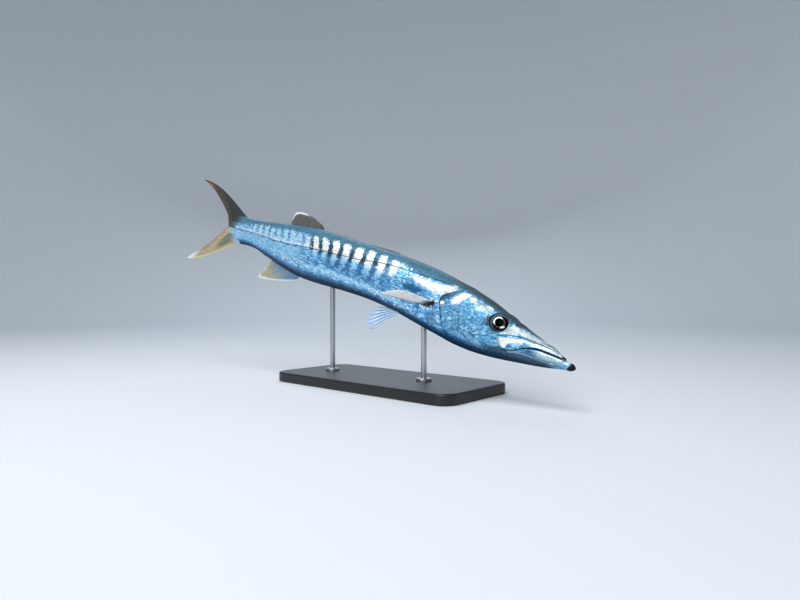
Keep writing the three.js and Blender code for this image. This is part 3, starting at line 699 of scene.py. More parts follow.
# Each marking's colour, and how ragged its edge is
PAINT = {
    "deep": ("#2a6896", 0.7),
    "shade": ("#33596f", 0.6),
    "bars": ("#2b5166", 0.6),
    # Painted shade on the belly, darker than the fish's own pale silver underside
    "belly": ("#10385a", 0.4),
    "back": ("#3f7187", 0.9),
    "sage": ("#93aaa9", 0.9),
    "sky": ("#8ed2f5", 0.9),
    "silver": ("#e4f3fb", 0.8),
    # Pale patches and painted highlights: white plates and patches, painted up where light from above catches
    # them
    "pale_and_highlight": ("#fbfaf3", 0.9),
    "umber": ("#4a4549", 0.5),
    "black": ("#08090a", 0.5),
}


def silver_finish(name, metallic, smoothest, roughest, relief, mottle_mm, base, tones):
    """A wet silver paint with the markings over it, and a mottle as long, wide and high as given"""
    material, tree = new_material(name)
    place = add(tree, "Attribute", attribute_name="straight").outputs["Vector"]
    drawn_out = add(tree, "Mapping", {"Vector": place, "Scale": [1 / size for size in mottle_mm]}).outputs[0]
    mottle = add(tree, "TexNoise", {"Vector": drawn_out, "Scale": 1.0, "Detail": 4.0}).outputs["Fac"]
    ragged = add(tree, "TexNoise", {"Vector": place, "Scale": 1 / RAGGED_MM, "Detail": 2.0}).outputs["Fac"]
    broad = add(tree, "TexNoise", {"Vector": place, "Scale": 1 / BROAD_MM, "Detail": 2.0}).outputs["Fac"]
    glint = add(tree, "Attribute", attribute_name="glint").outputs["Fac"]
    light = add(tree, "Math", {0: mottle, 1: glint}, operation="ADD").outputs[0]
    for noise, strength in ((broad, BROAD_STRENGTH), (ragged, FINE_STRENGTH)):
        noise = add(tree, "Math", {0: noise, 1: strength, 2: -0.5 * strength}, operation="MULTIPLY_ADD")
        light = add(tree, "Math", {0: light, 1: noise.outputs[0]}, operation="ADD").outputs[0]
    layers = [(light, start, end, tone) for tone, start, end in tones]
    for marking, (paint, torn) in PAINT.items():
        mask = add(tree, "Attribute", attribute_name=marking).outputs["Fac"]
        noise = add(tree, "Math", {0: ragged, 1: torn, 2: -0.5 * torn}, operation="MULTIPLY_ADD")
        mask = add(tree, "Math", {0: mask, 1: noise.outputs[0]}, operation="ADD").outputs[0]
        layers.append((mask, *MASK_EDGE, paint))
    colour, mix = linear(base), {"data_type": "RGBA"}
    for value, start, end, layer in layers:
        cover = {"Value": value, "From Min": start, "From Max": end}
        cover = add(tree, "MapRange", cover, interpolation_type="SMOOTHSTEP").outputs[0]
        colour = add(tree, "Mix", {0: cover, MIX_A: colour, MIX_B: linear(layer)}, **mix).outputs[MIX_RESULT]
    shading = {"Value": mottle, "From Min": SHADED_FROM[0], "From Max": SHADED_FROM[1]}
    shading = add(tree, "MapRange", shading | {"To Min": SHADED_TO[0], "To Max": SHADED_TO[1]})
    shading = {0: SHADING_STRENGTH, MIX_A: colour, MIX_B: shading.outputs[0]}
    colour = add(tree, "Mix", shading, blend_type="MULTIPLY", **mix).outputs[MIX_RESULT]
    # Painted shade: creases, the mouth slit, the nostrils and the gill gap are darkened towards black; on the
    # lateral line this darkening is the line's own colour
    crevice = add(tree, "Attribute", attribute_name="crevice").outputs["Fac"]
    crevice = {0: crevice, MIX_A: colour, MIX_B: linear(PAINT["black"][0])}
    colour = add(tree, "Mix", crevice, **mix).outputs[MIX_RESULT]
    dull = add(tree, "Attribute", attribute_name="dull").outputs["Fac"]
    rough = add(tree, "MapRange", {"Value": ragged, "To Min": smoothest, "To Max": roughest}).outputs[0]
    rough = add(tree, "Math", {0: dull, 1: DULL_ROUGHNESS, 2: rough}, operation="MULTIPLY_ADD")
    bump = add(tree, "Bump", {"Height": ragged, "Strength": relief, "Distance": 0.001})
    wet = add(tree, "MapRange", {"Value": dull, "To Min": WET_COAT, "To Max": 0.0})
    metal = add(tree, "MapRange", {"Value": dull, "To Min": metallic, "To Max": DULL_METAL})
    finish = {"Base Color": colour, "Metallic": metal.outputs[0], "Roughness": rough.outputs[0]}
    finish |= {"Specular IOR Level": 0.25, "Coat Weight": wet.outputs[0], "Coat Roughness": 0.15}
    shader = add(tree, "BsdfPrincipled", finish | {"Normal": bump.outputs[0]})
    add(tree, "OutputMaterial", {"Surface": shader.outputs[0]})
    return material


head_and_skin = silver_finish(
    "guanine_silver_skin", 0.4, 0.26, 0.46, 0.4, (5.5, 4, 3), "#3f80ab", HEAD_TONES,
)
scale_silver = silver_finish(
    "guanine_silver_scales", 0.45, 0.24, 0.42, 0.2, (12, 4, 2.7), "#3a80ba", FLANK_TONES,
)
print("silver skin of", len(head_and_skin.node_tree.nodes), "nodes")

# %% [markdown]
# ## Relief of the head
# A barracuda's head is bone under thin skin, so its plates and creases show. They are too fine for the
# solids and too many to sculpt one by one. Each is a line or an outline on the side view, which raises
# or lowers the skin. Deep creases also get painted shade: their colour is darkened towards black.

# %% Lines and plates of the head
MOUTH_LINE = [
    [9.5, 13], [11.5, 9.4], [14.5, 7.5], [19, 6.8], [27, 6.5], [43, 5.0],
    [59, 3.8], [73, 0.2], [85, -5.6], [98, -14.5], [111, -19.6], [122, -22],
]
MAXILLA = [
    [24, 6], [27, 10.6], [40, 12.2], [56, 12.6], [79, 10.8], [96, 9.0], [107, 5.4], [117, 1], [125.5, -5.5],
    [126, -11], [121.5, -16.8], [112, -19.2], [98, -14], [85, -5], [73, 0.5], [59, 4], [43, 5.2],
]
LOWER_LIP = [
    [20, 4.5], [43, 3.6], [59, 2.6], [73, -0.6], [85, -6.2], [98, -15], [112, -21.5],
    [104, -20], [86, -15.6], [70, -13.2], [54, -10.6], [36, -6.8], [22, -3.2],
]
JAW_FOLD = [[119, -24], [103, -19.5], [86, -16], [70, -13.8], [54, -11.2], [32, -6.6]]
JAW_REAR = [[121, -20], [133, -27], [142, -34], [149, -44]]
GILL_EDGE = [
    [214, 58], [223, 44], [236, 35], [246, 24], [254, 14],
    [249, 1], [238, -18], [229, -33], [206, -45], [186, -50],
]
PREOPERCLE = [[214, 30], [214, 15], [207, -5], [196, -22], [178, -34], [160, -39]]
CHEEK_CREASE = [[203, 14], [196, -4], [186, -17], [168, -28]]
MAXILLA_TOP = [
    [131, -4], [122, 1.5], [115, 4.8], [108.5, 6.8], [102, 8.6],
    [95, 10], [86, 11.4], [70, 13], [56, 13.6], [44, 13], [34, 11.8],
]
BAND_TOP = [[28, 10.4], [43, 9.2], [59, 8.2], [73, 5.8], [88, 1.5]]
SNOUT_RIDGES = [
    [[40, 15.6], [66, 17.2], [92, 16.8]],
    [[72, 19.6], [92, 20.4], [108, 18.4]],
    [[92, 14.4], [108, 11.8], [122, 7]],
]
# The eyeball's middle, and its half sizes along the fish, outwards and upwards
EYE_STATION = 138.6
EYE_HEIGHT = 16.9
EYE_LONG = 17.6
EYE_DEEP = 9
EYE_TALL = 16
EYE_STANDS_OUT = 4.2
# Each nostril's station, height and radius
NOSTRILS = [(110.5, 25.4, 1.9), (104.5, 23.8, 1.2)]
# Each groove: its line, depth, width and how dark its painted shade is
SIDE_GROOVES = [
    (JAW_FOLD, 1.0, 1.2, 0.45),
    (JAW_REAR, 1.0, 1.3, 0.4),
    (PREOPERCLE, 0.9, 1.3, 0.5),
    (CHEEK_CREASE, 0.5, 1.2, 0.2),
    (MAXILLA_TOP, 1.1, 1.0, 0.85),
    (BAND_TOP, 0.4, 1.3, 0.35),
]


def ahead_of_gills(station, height):
    """Which points lie ahead of the gill covers' rear edge, and their distance from it"""
    edge = smooth_line(GILL_EDGE, 80)
    outline = np.vstack([edge, [[-50, -90], [-50, 90], [200, 90]]])
    away, share = distance_to(edge, station, height)
    return inside(outline, station, height), away, share


# %% [markdown]
# The jaws: the maxilla is a plate laid over the side of the upper jaw, and the lips are soft folds along a
# deep slit. The slit is widest at the front, where the lower jaw juts out past the upper.

# %% Relief of the jaws and plates
def jaw_relief(station, height):
    """How far the jaws' plates and folds stand out, and the painted shade darkening their creases"""
    maxilla = signed_distance(MAXILLA, station, height)
    relief = 1.3 * smoothstep(maxilla, -0.3, 1.4) - 0.6 * groove(maxilla, 0.9)
    relief += smoothstep(signed_distance(LOWER_LIP, station, height), -0.2, 2.2)
    # Painted shade: the colour darkens along the maxilla's edge, in the mouth slit, the grooves, the dips
    # beside the snout's ridges and the nostrils
    crevice = 0.35 * groove(maxilla + 0.4, 0.8)
    away, share = distance_to(smooth_line(MOUTH_LINE, 80), station, height)
    slit = groove(away, 1.9 - 0.3 * smoothstep(share, 0.12, 0.4) - 0.8 * smoothstep(share, 0.45, 0.75))
    relief -= (2.4 + 3.1 * smoothstep(share, 0.07, 0.22)) * slit * (1 - 0.8 * smoothstep(share, 0.5, 0.9))
    crevice = np.maximum(crevice, smoothstep(slit, 0.25, 0.75) * (1 - 0.35 * smoothstep(share, 0.7, 1)))
    for line, depth, width, dark in SIDE_GROOVES:
        away, _ = distance_to(smooth_line(line, 50), station, height)
        relief -= depth * groove(away, width)
        crevice = np.maximum(crevice, dark * groove(away, width * 0.8))
    for line in SNOUT_RIDGES:
        away, share = distance_to(smooth_line(line, 30), station, height)
        ends = window(share, 0, 0.25, 0.75, 1)
        relief += ends * (0.55 * groove(away, 0.9) - 0.35 * groove(away - 1.8, 0.8))
        crevice = np.maximum(crevice, 0.35 * ends * groove(away - 1.8, 0.7))
    for at, up, radius in NOSTRILS:
        away = np.hypot((station - at) * 0.8, height - up)
        relief += 0.6 * groove(away - radius * 1.6, 0.8) - 2.8 * groove(away, radius * 0.8)
        crevice = np.maximum(crevice, groove(away, radius * 0.85))
    return relief, crevice


# %% [markdown]
# The gill cover is a loose plate: its rear edge stands proud of the trunk, with a gap behind that is painted
# dark as shade. On top of the skull two long ridges run back from the snout, and folds of skin line the
# throat. The eye sits in a socket with a raised rim and a brow.

# %% Relief of the gill cover, skull and throat
# Each throat fold: its place as a share of the half width, and the stations it starts and ends at
THROAT_FOLDS = [(0.0, 30, 205), (0.24, 70, 195), (0.44, 95, 200), (0.62, 120, 205)]


def gill_relief(station, height):
    """The gill cover's raised rim and the gap behind it"""
    ahead, away, share = ahead_of_gills(station, height)
    strength = smoothstep(share, 0.06, 0.2) * (1 - 0.7 * smoothstep(share, 0.85, 1))
    rim = groove(away - 2.2, 2.2) * 0.7
    gap = groove(away, 2.4)
    relief = np.where(ahead, rim, -2.8 * gap - 0.3) * strength
    # Painted shade: a dark line along the cover's edge, and dark colour in the gap behind it
    dark = np.where(ahead, 0.7 * groove(away, 0.9), smoothstep(gap, 0.1, 0.55)) * strength
    return relief, dark


def skull_and_throat(station, side, height):
    """The ridges on top of the skull and the folds under the throat"""
    up, down, half, _, _ = section(station)
    off_middle = np.abs(side)
    top = smoothstep(height / np.maximum(up, 1), 0.72, 0.93)
    along_top = window(station, 48, 85, 185, 218)
    dip = off_middle - 0.2 * half
    relief = top * along_top * (0.9 * groove(off_middle - 0.42 * half, 1.8) - 0.8 * groove(dip, 2.4))
    # Painted shade darkens the dip beside each skull ridge and each throat fold
    crevice = 0.2 * top * along_top * groove(dip, 1.6)
    under = smoothstep(-height / np.maximum(down, 1), 0.7, 0.9)
    for place, start, end in THROAT_FOLDS:
        fold = groove(off_middle - place * half, 1.1) * window(station, start, start + 20, end - 15, end)
        fold *= under
        relief -= 0.9 * fold
        crevice = np.maximum(crevice, 0.45 * fold)
    return relief, crevice


def eye_reach(station, height):
    """Distance from the eye's middle, as a share of the eyeball's own size"""
    return np.hypot((station - EYE_STATION) / EYE_LONG, (height - EYE_HEIGHT) / EYE_TALL)


def orbit_relief(station, height):
    """The rim round the eye and the brow over it, and the socket that the eyeball sits in, painted dark as
    shade
    """
    reach = eye_reach(station, height)
    rim = 0.9 * groove(reach - 1.02, 0.1) - 0.5 * groove(reach - 1.28, 0.12)
    brow = 0.8 * groove(reach - 1.16, 0.12) * smoothstep(height - EYE_HEIGHT, 4, 12)
    socket = -11 * fade(reach, 0.80, 0.92)
    return rim + brow + socket, fade(reach, 0.88, 0.99)


# %% [markdown]
# ## The skin
# Now the skin itself: one mesh from the jaw's tip to the tail's root, with its rings close together
# on the head, where the relief is fine, and further apart on the trunk. It lies under the solids'
# surface by the depth of the scales.

# %% The skin's rings
GIRTH_POINTS = 336
HEAD_STEP = 0.6
TRUNK_STEP = 3.0
HEAD_FINE_END = 264
TIP_END, ORBIT_END, JAWS_END = 30, 200, 236
HEAD_SWELL = 1.4
SWELL_START = 120
SWELL_END = 210
COAT_DEPTH = 0.6
STALK_END = 932
STALK_CORNER = 892
STALK_HEIGHT = 36
STALK_BLEND = 800
STALK_THINNING = 0.68


def skin_stations():
    """Stations of the skin's rings, closest at the rounded tip"""
    tip = TIP_ROUNDING * (1 - np.cos(np.radians(np.linspace(4, 90, 16))))
    head = np.arange(TIP_ROUNDING + HEAD_STEP, HEAD_FINE_END, HEAD_STEP)
    trunk = np.arange(HEAD_FINE_END + HEAD_STEP, STALK_END, TRUNK_STEP)
    return np.concatenate([tip, head, trunk, [STALK_END]])


def stalk_end(height):
    """Station where the body ends at a height, in a curve that points to the tail"""
    return STALK_CORNER + (STALK_END - STALK_CORNER) * (1 - np.clip(np.abs(height) / STALK_HEIGHT, 0, 1) ** 2)


def round_off_stalk(grid):
    """Pull the tail's root forwards above and below, and thin it where the fin grows out"""
    station, side, height = np.moveaxis(grid, -1, 0)
    share = np.clip((station - STALK_BLEND) / (STALK_END - STALK_BLEND), 0, None)
    moved = np.where(station > STALK_BLEND, STALK_BLEND + share * (stalk_end(height) - STALK_BLEND), station)
    thin = 1 - STALK_THINNING * smoothstep(share, 0.5, 1.0)
    return np.stack([moved, side * thin, height], -1)


def surface_relief(grid):
    """How far the skin stands out from the plain body, and the painted shade in its creases"""
    station, side, height = np.moveaxis(grid, -1, 0)
    swell = HEAD_SWELL * smoothstep(station, SWELL_START, SWELL_END)
    jaws, jaw_shade = jaw_relief(station, height)
    gills, gill_shade = gill_relief(station, height)
    orbit, orbit_shade = orbit_relief(station, height)
    skull, skull_shade = skull_and_throat(station, side, height)
    ahead, away, _ = ahead_of_gills(station, height)
    swell = np.where(ahead, swell, swell * fade(away, 0, 30))
    off_middle = np.abs(side)
    upper_tip = (station < TIP_END) & (height > 0)
    flank = np.maximum(smoothstep(off_middle, 1, 4), upper_tip) * smoothstep(station, 3, 12)
    eye_side = smoothstep(off_middle, 4, 9) * (station < ORBIT_END)
    relief = swell + jaws * flank * (station < JAWS_END) + gills * flank + orbit * eye_side + skull
    dark = np.maximum(np.maximum(jaw_shade, gill_shade) * flank, orbit_shade * eye_side)
    return relief, np.maximum(dark, skull_shade)


def skin_grid(stations):
    """The skin's points, ring by ring, and the painted shade of each that lies in a crease"""
    grid = np.stack([ring(station, np.arange(GIRTH_POINTS) / GIRTH_POINTS) for station in stations])
    relief, crevice = surface_relief(grid)
    moved = grid + outward_normals(grid) * (relief - COAT_DEPTH)[..., None]
    return round_off_stalk(moved), crevice


skin_points, skin_crevice = skin_grid(skin_stations())
print("skin rings", len(skin_points), "of", GIRTH_POINTS, "points")

# %% [markdown]
# The rings are joined into one closed mesh. Its flat map for baking is simply the fish's length by its girth.

# %% The skin's mesh
MAP_MARGIN = 0.02
MAP_SPAN = 1 - 2 * MAP_MARGIN


def unwrap_place(station, around):
    """Place on the skin's flat map: the length of the fish across and its girth upwards"""
    return np.stack([MAP_MARGIN + MAP_SPAN * station / STALK_END, MAP_MARGIN + MAP_SPAN * around], -1)


def unwrap_corners(piece, station):
    """The flat map's place of every face corner, with the faces at the seam kept in one piece"""
    index = corner_points(piece)
    around = (index % GIRTH_POINTS) / GIRTH_POINTS
    starts, totals = np.empty((2, len(piece.data.polygons)), int)
    piece.data.polygons.foreach_get("loop_start", starts)
    piece.data.polygons.foreach_get("loop_total", totals)
    face = np.repeat(np.arange(len(starts)), totals)
    highest = np.maximum.reduceat(around, starts)[face]
    around = np.where((highest > 0.9) & (around < 0.1), around + 1, around)
    return unwrap_place(station[index], around)


def build_skin():
    rows, columns = skin_points.shape[:2]
    points = np.vstack([skin_points.reshape(-1, 3), [[COAT_DEPTH, 0, 0], [STALK_END - 1, 0, 0]]])
    head = ("head", "lower_jaw", "gill_cover_right", "gill_cover_left")
    whole = head + ("trunk_front", "trunk_rear", "tail_stalk")
    faces = capped_faces(rows, columns)
    piece = new_piece("skin", posed(points), faces, head_and_skin, whole)
    crevice = np.concatenate([skin_crevice.ravel(), [0, 0]])
    masks = markings(points)
    station, side, height = points.T
    # Painted shade round the eye: a dark ring on the skin at the socket's edge, widest below and behind
    low_rear = 0.5 + 0.35 * (station - EYE_STATION) / EYE_LONG - 0.35 * (height - EYE_HEIGHT) / EYE_TALL
    eye_socket_shade = fade(eye_reach(station, height), 0.94, 1.06 + 0.2 * np.clip(low_rear, 0, 1))
    masks["black"] = np.maximum(masks["black"], 0.6 * eye_socket_shade * (np.abs(side) > 6))
    set_values(piece, crevice=crevice, glint=0 * crevice, straight=points, **masks)
    set_uv(piece, unwrap_corners(piece, station))


build_skin()

# %% [markdown]
# ## Scales
# The scales lie like roof tiles, each row half a scale out of step with the next. A scale is a thin
# plate with a round rear edge, its front sunk in the skin and its rear lifted a little. They are
# made all at once: the same small plate is placed, turned and tilted many times, with a seeded draw for
# the tilt and the glint of each. The glint is a painted reflection: a small random shift of the scale's tone,
# as if it caught the light differently. Each takes the markings of its own middle, so a dark bar ends
# in a ragged edge of whole scales, as it does on the fish.

# %% One scale, and where the scales sit
SEED = 11
draw = np.random.default_rng(SEED)


def scale_plate():
    """One scale's outline, then its middle: shares of its length and of its width"""
    rear = np.radians([80, 45, 0, -45, -80])
    round_end = [(0.15 + 0.55 * math.cos(a), 0.56 * math.sin(a)) for a in rear]
    return np.array([(-0.55, -0.42), (-0.55, 0.42)] + round_end + [(0.1, 0.0)])


def on_side(share, side):
    """A girth share of the right flank, moved to the given flank"""
    return share if side < 0 else 1 - share


def scale_centres(side, start, end, pitch, width):
    """Station, girth share and own width of every scale of one flank, in staggered rows"""
    centres = []
    for row, station in enumerate(np.arange(start, end, pitch / 2)):
        whole = ring(station, np.linspace(0, 1, 721))
        flank = np.sum(np.linalg.norm(np.diff(whole, axis=0), axis=1)) / 2
        count = max(12, round(flank / width))
        share = on_side((np.arange(count) + 0.25 + 0.5 * (row % 2)) / count * 0.5, side)
        centres.append(np.stack([np.full(count, station), share, np.full(count, flank / count)], -1))
    return np.vstack(centres)


def body_frame(station, around):
    """Point, rearward, sideways and outward directions of the plain body at many places"""
    places = np.empty((3, len(station), 3))
    for value in np.unique(station):
        chosen = station == value
        places[0, chosen] = ring(value, around[chosen])
        places[1, chosen] = ring(value + 0.5, around[chosen])
        places[2, chosen] = ring(value, around[chosen] + 0.001)
    origin, rearward, across = places[0], places[1] - places[0], places[2] - places[0]
    normal = np.cross(across, rearward)
    normal *= np.sign(np.sum(normal[:, 1:] * origin[:, 1:], -1, keepdims=True))
    rearward /= np.linalg.norm(rearward, axis=-1, keepdims=True)
    normal /= np.linalg.norm(normal, axis=-1, keepdims=True)
    return origin, rearward, np.cross(normal, rearward), normal


# %% [markdown]
# Some scales get a silver flash, a painted highlight of a scale catching the light, and a few are dark. They
# are drawn by chance, most of them in the pale band, on the speckled shoulder and among the rear patches. The
# silver ones keep off the dark markings.

# %% The coat of scales
SCALE_THICKNESS = 0.3
FRONT_LIFT = 0.10
MIDDLE_LIFT = 0.16
OVERLAP = 1.05
TILT_SPREAD = 0.07
GLINT_SPREAD = 0.035
MAP_SIZE = 0.0024


def fleck_chances(points):
    """How likely a scale is to get a painted silver flash, or to be dark, at each point"""
    station, _, height = points.T
    _, down, _, _, _ = section(station)
    band = groove(height + LOW_BAND * down, 7) * window(station, 290, 340, 690, 800)
    speckles = window(height, 24, 31, 42, 48) * window(station, 268, 300, 362, 385)
    _, _, patches, _, _ = bar_masks(station, height)
    rear = smoothstep(station, 600, 670) * smoothstep(height - lateral_height(station), -2, 2)
    body = smoothstep(station, 240, 300)
    bright = 0.03 + 0.4 * band + 0.3 * speckles + 0.25 * rear * patches
    return body * bright, body * (0.04 + 0.45 * speckles + 0.06 * rear)


def plate_faces(shape):
    """Faces of one scale: its domed top, its rim and its flat bottom"""
    rim = shape - 1
    faces = []
    for k in range(rim):
        following = (k + 1) % rim
        faces += [[rim, k, following], [k, shape + k, shape + following], [k, shape + following, following]]
    return faces + [[shape, shape + k + 1, shape + k] for k in range(1, rim - 1)]


def build_scales(name, centres, keep, length, lift_rear, material):
    """One mesh of all the scales that are kept, each with the markings of its own middle"""
    station, around, width = centres[keep].T
    origin, rearward, across, normal = body_frame(station, around)
    relief, _ = surface_relief(origin)
    origin = origin + normal * relief[:, None]
    count = len(station)
    plate = scale_plate()
    tilt = draw.normal(0, TILT_SPREAD, count)
    # A painted reflection: each scale's tone shifts a little at random, as if it caught the light differently
    glint = draw.normal(0, GLINT_SPREAD, count)
    lift = FRONT_LIFT + lift_rear * np.clip((plate[:, 0] + 0.55) / 1.25, 0, 1)
    lift = lift[None, :] + plate[None, :, 1] * tilt[:, None] * 2.0
    lift[:, -1] += MIDDLE_LIFT
    along = (plate[:, 0] * length)[None, :, None]
    sideways = (plate[None, :, 1] * width[:, None] * OVERLAP)[..., None]
    top = origin[:, None] + rearward[:, None] * along + across[:, None] * sideways
    top = top + normal[:, None] * (lift - COAT_DEPTH)[..., None]
    bottom = top[:, :-1] - normal[:, None] * SCALE_THICKNESS
    points = np.concatenate([top, bottom], axis=1)
    each = points.shape[1]
    faces = np.array(plate_faces(len(plate)))[None] + np.arange(count)[:, None, None] * each
    rounded = round_off_stalk(points).reshape(-1, 3)
    piece = new_piece(name, posed(rounded), faces.reshape(-1, 3), material, smooth=False)
    middle = origin + np.stack([draw.normal(0, 1.0, count), 0 * tilt, draw.normal(0, 0.8, count)], -1)
    masks = markings(middle)
    bright, dark = fleck_chances(middle)
    covered = most(*[masks[word] for word in ("back", "belly", "shade", "bars", "deep")])
    bright = bright * (1 - np.minimum(1, 1.4 * covered))
    # Painted highlights: scales drawn to flash get silver paint; dark scales get the shade colour
    for word, chance, faintest in (("silver", bright, 0.25), ("shade", dark, 0.3)):
        flecks = draw.uniform(faintest, 0.8, count) * (draw.random(count) < chance)
        masks[word] = np.maximum(masks[word], flecks)
    values = {word: np.repeat(value, each) for word, value in (masks | {"glint": glint}).items()}
    set_values(piece, crevice=np.zeros(count * each), straight=points.reshape(-1, 3), **values)
    spots = unwrap_place(np.repeat(station, each), np.repeat(around, each))
    spots = spots + np.tile(np.concatenate([plate, plate[:-1]]) * MAP_SIZE, (count, 1))
    set_uv(piece, spots[corner_points(piece)])


# %% [markdown]
# Body scales start behind the gill opening and run onto the tail's root. Smaller ones cover the cheek and
# the gill cover, but not the jaws, the snout or the creases between the plates.

# %% Body and cheek scales
BODY_PITCH, BODY_WIDTH, BODY_SCALE = 5.2, 5.0, 6.0
CHEEK_PITCH, CHEEK_WIDTH, CHEEK_SCALE = 3.6, 3.4, 4.2
BODY_LIFT, CHEEK_LIFT = 0.42, 0.24
BODY_SPAN, CHEEK_SPAN = (214, 922), (146, 250)
GILL_GAP, TAIL_GAP = 3.0, 10
CHEEK = [
    [152, 30], [172, 33], [198, 36], [211, 30], [211, 14], [204, -6], [193, -20],
    [176, -30], [160, -30], [150, -20], [146, -8], [158, 2], [160, 14],
]
COVER = [
    [217, 38], [228, 34], [240, 25], [248, 14], [244, 0], [234, -18], [224, -33],
    [208, -42], [190, -44], [196, -30], [206, -14], [214, 4], [217, 20],
]

for side, word in SIDES:
    centres = scale_centres(side, *BODY_SPAN, BODY_PITCH, BODY_WIDTH)
    station, _, height = body_frame(centres[:, 0], centres[:, 1])[0].T
    ahead, away, _ = ahead_of_gills(station, height)
    keep = ~ahead & (away > GILL_GAP) & (station < stalk_end(height) - TAIL_GAP)
    build_scales("scales_" + word, centres, keep, BODY_SCALE, BODY_LIFT, scale_silver)
    centres = scale_centres(side, *CHEEK_SPAN, CHEEK_PITCH, CHEEK_WIDTH)
    station, _, height = body_frame(centres[:, 0], centres[:, 1])[0].T
    keep = inside(np.array(CHEEK), station, height) | inside(np.array(COVER), station, height)
    build_scales("cheek_scales_" + word, centres, keep, CHEEK_SCALE, CHEEK_LIFT, head_and_skin)

# %% [markdown]
# ## Lateral line
# The fine dark line along the flank is a row of scales with a tube in each, through which the fish
# feels what moves near it. Each is a small ridge, a little higher at its rear end.

# %% Lateral line
TUBE_LENGTH = 5.2
TUBES_FROM, TUBES_TO = 250, 918
TUBE_SECTION = np.array([[-1.0, -0.3], [-0.6, 0.35], [0.0, 0.6], [0.6, 0.35], [1.0, -0.3]])


def share_at_height(station, height):
    """Girth share of the right flank's point at a height"""
    shares = np.linspace(0.02, 0.48, 400)
    return np.interp(height, ring(station, shares)[:, 2], shares)


def build_lateral_line(name, side):
    points, faces = [], []
    columns = len(TUBE_SECTION)
    for start in np.arange(TUBES_FROM, TUBES_TO, TUBE_LENGTH):
        first = len(points) * columns
        second = first + columns
        for end, size, lift in ((start, 0.75, 0.15), (start + TUBE_LENGTH * 1.1, 1.0, 0.35)):
            share = on_side(share_at_height(end, lateral_height(end)), side)
            origin, _, across, normal = body_frame(np.array([end]), np.array([share]))
            arch = origin + normal * lift + across * TUBE_SECTION[:, :1] * 0.8 * size
            points.append(arch + normal * TUBE_SECTION[:, 1:] * size)
        for j in range(columns):
            n = (j + 1) % columns
            faces.append([first + j, first + n, second + n, second + j])
        faces.append([first + j for j in range(columns)][::-1])
        faces.append([second + j for j in range(columns)])
    flat = np.array(points).reshape(-1, 3)
    piece = new_piece(name, posed(round_off_stalk(flat)), faces, scale_silver)
    blank = 0 * flat[:, 0]
    masks = {word: blank for word in PAINT} | {"deep": blank + 0.9, "bars": blank + 0.6}
    # The line's own dark colour goes in the value that carries painted crease shade on the skin
    set_values(piece, crevice=blank + 0.5, glint=blank, straight=flat, **masks)


for side, word in SIDES:
    build_lateral_line("lateral_line_" + word, side)

# %% [markdown]
# ## Fins
# Each fin is a thin membrane stretched over rays that fan out of its root. It is a grid whose columns
# follow the rays: a ray swells on both faces along its own column and splits in two towards the
# edge, as a soft fin ray does. The spines of the first dorsal fin don't split.

# %% The fin blade
STEPS_PER_RAY = 14
STEPS_OUT = 40
RIM_HALF = 0.16
FILM_SHARE = 0.75
WAVE = 0.35
NOTCH = 0.035


def fin_curve(points):
    """A curve through points given as station, height or as station, left, height"""
    points = np.asarray(points, float)
    if points.shape[1] == 2:
        points = np.stack([points[:, 0], 0 * points[:, 0], points[:, 1]], -1)
    line = smooth_line(points, 200)
    return lambda u: np.stack([np.interp(u, np.linspace(0, 1, 200), line[:, k]) for k in range(3)], -1)


def ray_profile(u, v, rays, split):
    """Height of the rays across the membrane, from 0 to 1. Past split each ray forks"""
    place = (u * rays) % 1 - 0.5
    forked = smoothstep(v, split, 1.05)
    width = 0.24 - 0.11 * forked
    return np.maximum(groove(place + 0.25 * forked, width), groove(place - 0.25 * forked, width))


def fin_faces(rows, columns):
    """Faces of two grids of points, one for each side of a blade, joined round their rim"""
    count = rows * columns
    quads = grid_faces(rows, columns)
    grid = np.arange(count).reshape(rows, columns)
    rim = np.concatenate([grid[0], grid[1:, -1], grid[-1, -2::-1], grid[-2:0:-1, 0]])
    following = np.roll(rim, -1)
    walls = np.stack([rim, rim + count, following + count, following], -1)
    return np.vstack([quads[:, ::-1], quads + count, walls[:, ::-1]])


def fin_values(u, v, station, height, rays_up, bright):
    """Where a point lies on its fin: along the rays, at the root, the edge, the tip and so on"""
    fingers = 7 * np.sin(height * 0.31 + 1) + 4 * np.sin(height * 0.72)
    edge = smoothstep(v, 0.84, 0.95) * smoothstep(u, bright[0] - 0.15, bright[0])
    return {
        "ray": rays_up * (0.35 + 0.65 * smoothstep(v, 0.02, 0.2)),
        "lead": fade(u, 0.02, 0.09),
        "root": fade(v + 0.05 * np.sin(u * 37), 0.05, 0.28),
        "flesh": fade(station - stalk_end(height) + fingers, -6, 30),
        "front": fade(u + 0.05 * np.sin(v * 9), 0.1, 0.5),
        "blush": fade(v + 0.1 * np.sin(u * 23), 0.1, 0.75),
        "edge": edge * fade(u, bright[1], bright[1] + 0.1),
        "tip": smoothstep(v, 0.86, 0.98) * fade(u, 0.1, 0.3),
        "rear": smoothstep(v, 0.55, 0.95),
        "foot": fade(v + 0.04 * np.sin(u * 37), 0.10, 0.36),
        # Where a painted highlight lies on the upper half of a fin
        "upper_highlight": smoothstep(u, 0.45, 0.85),
        "patch": spot(u, v, (0.5, 0.38), (0.34, 0.3)),
    }


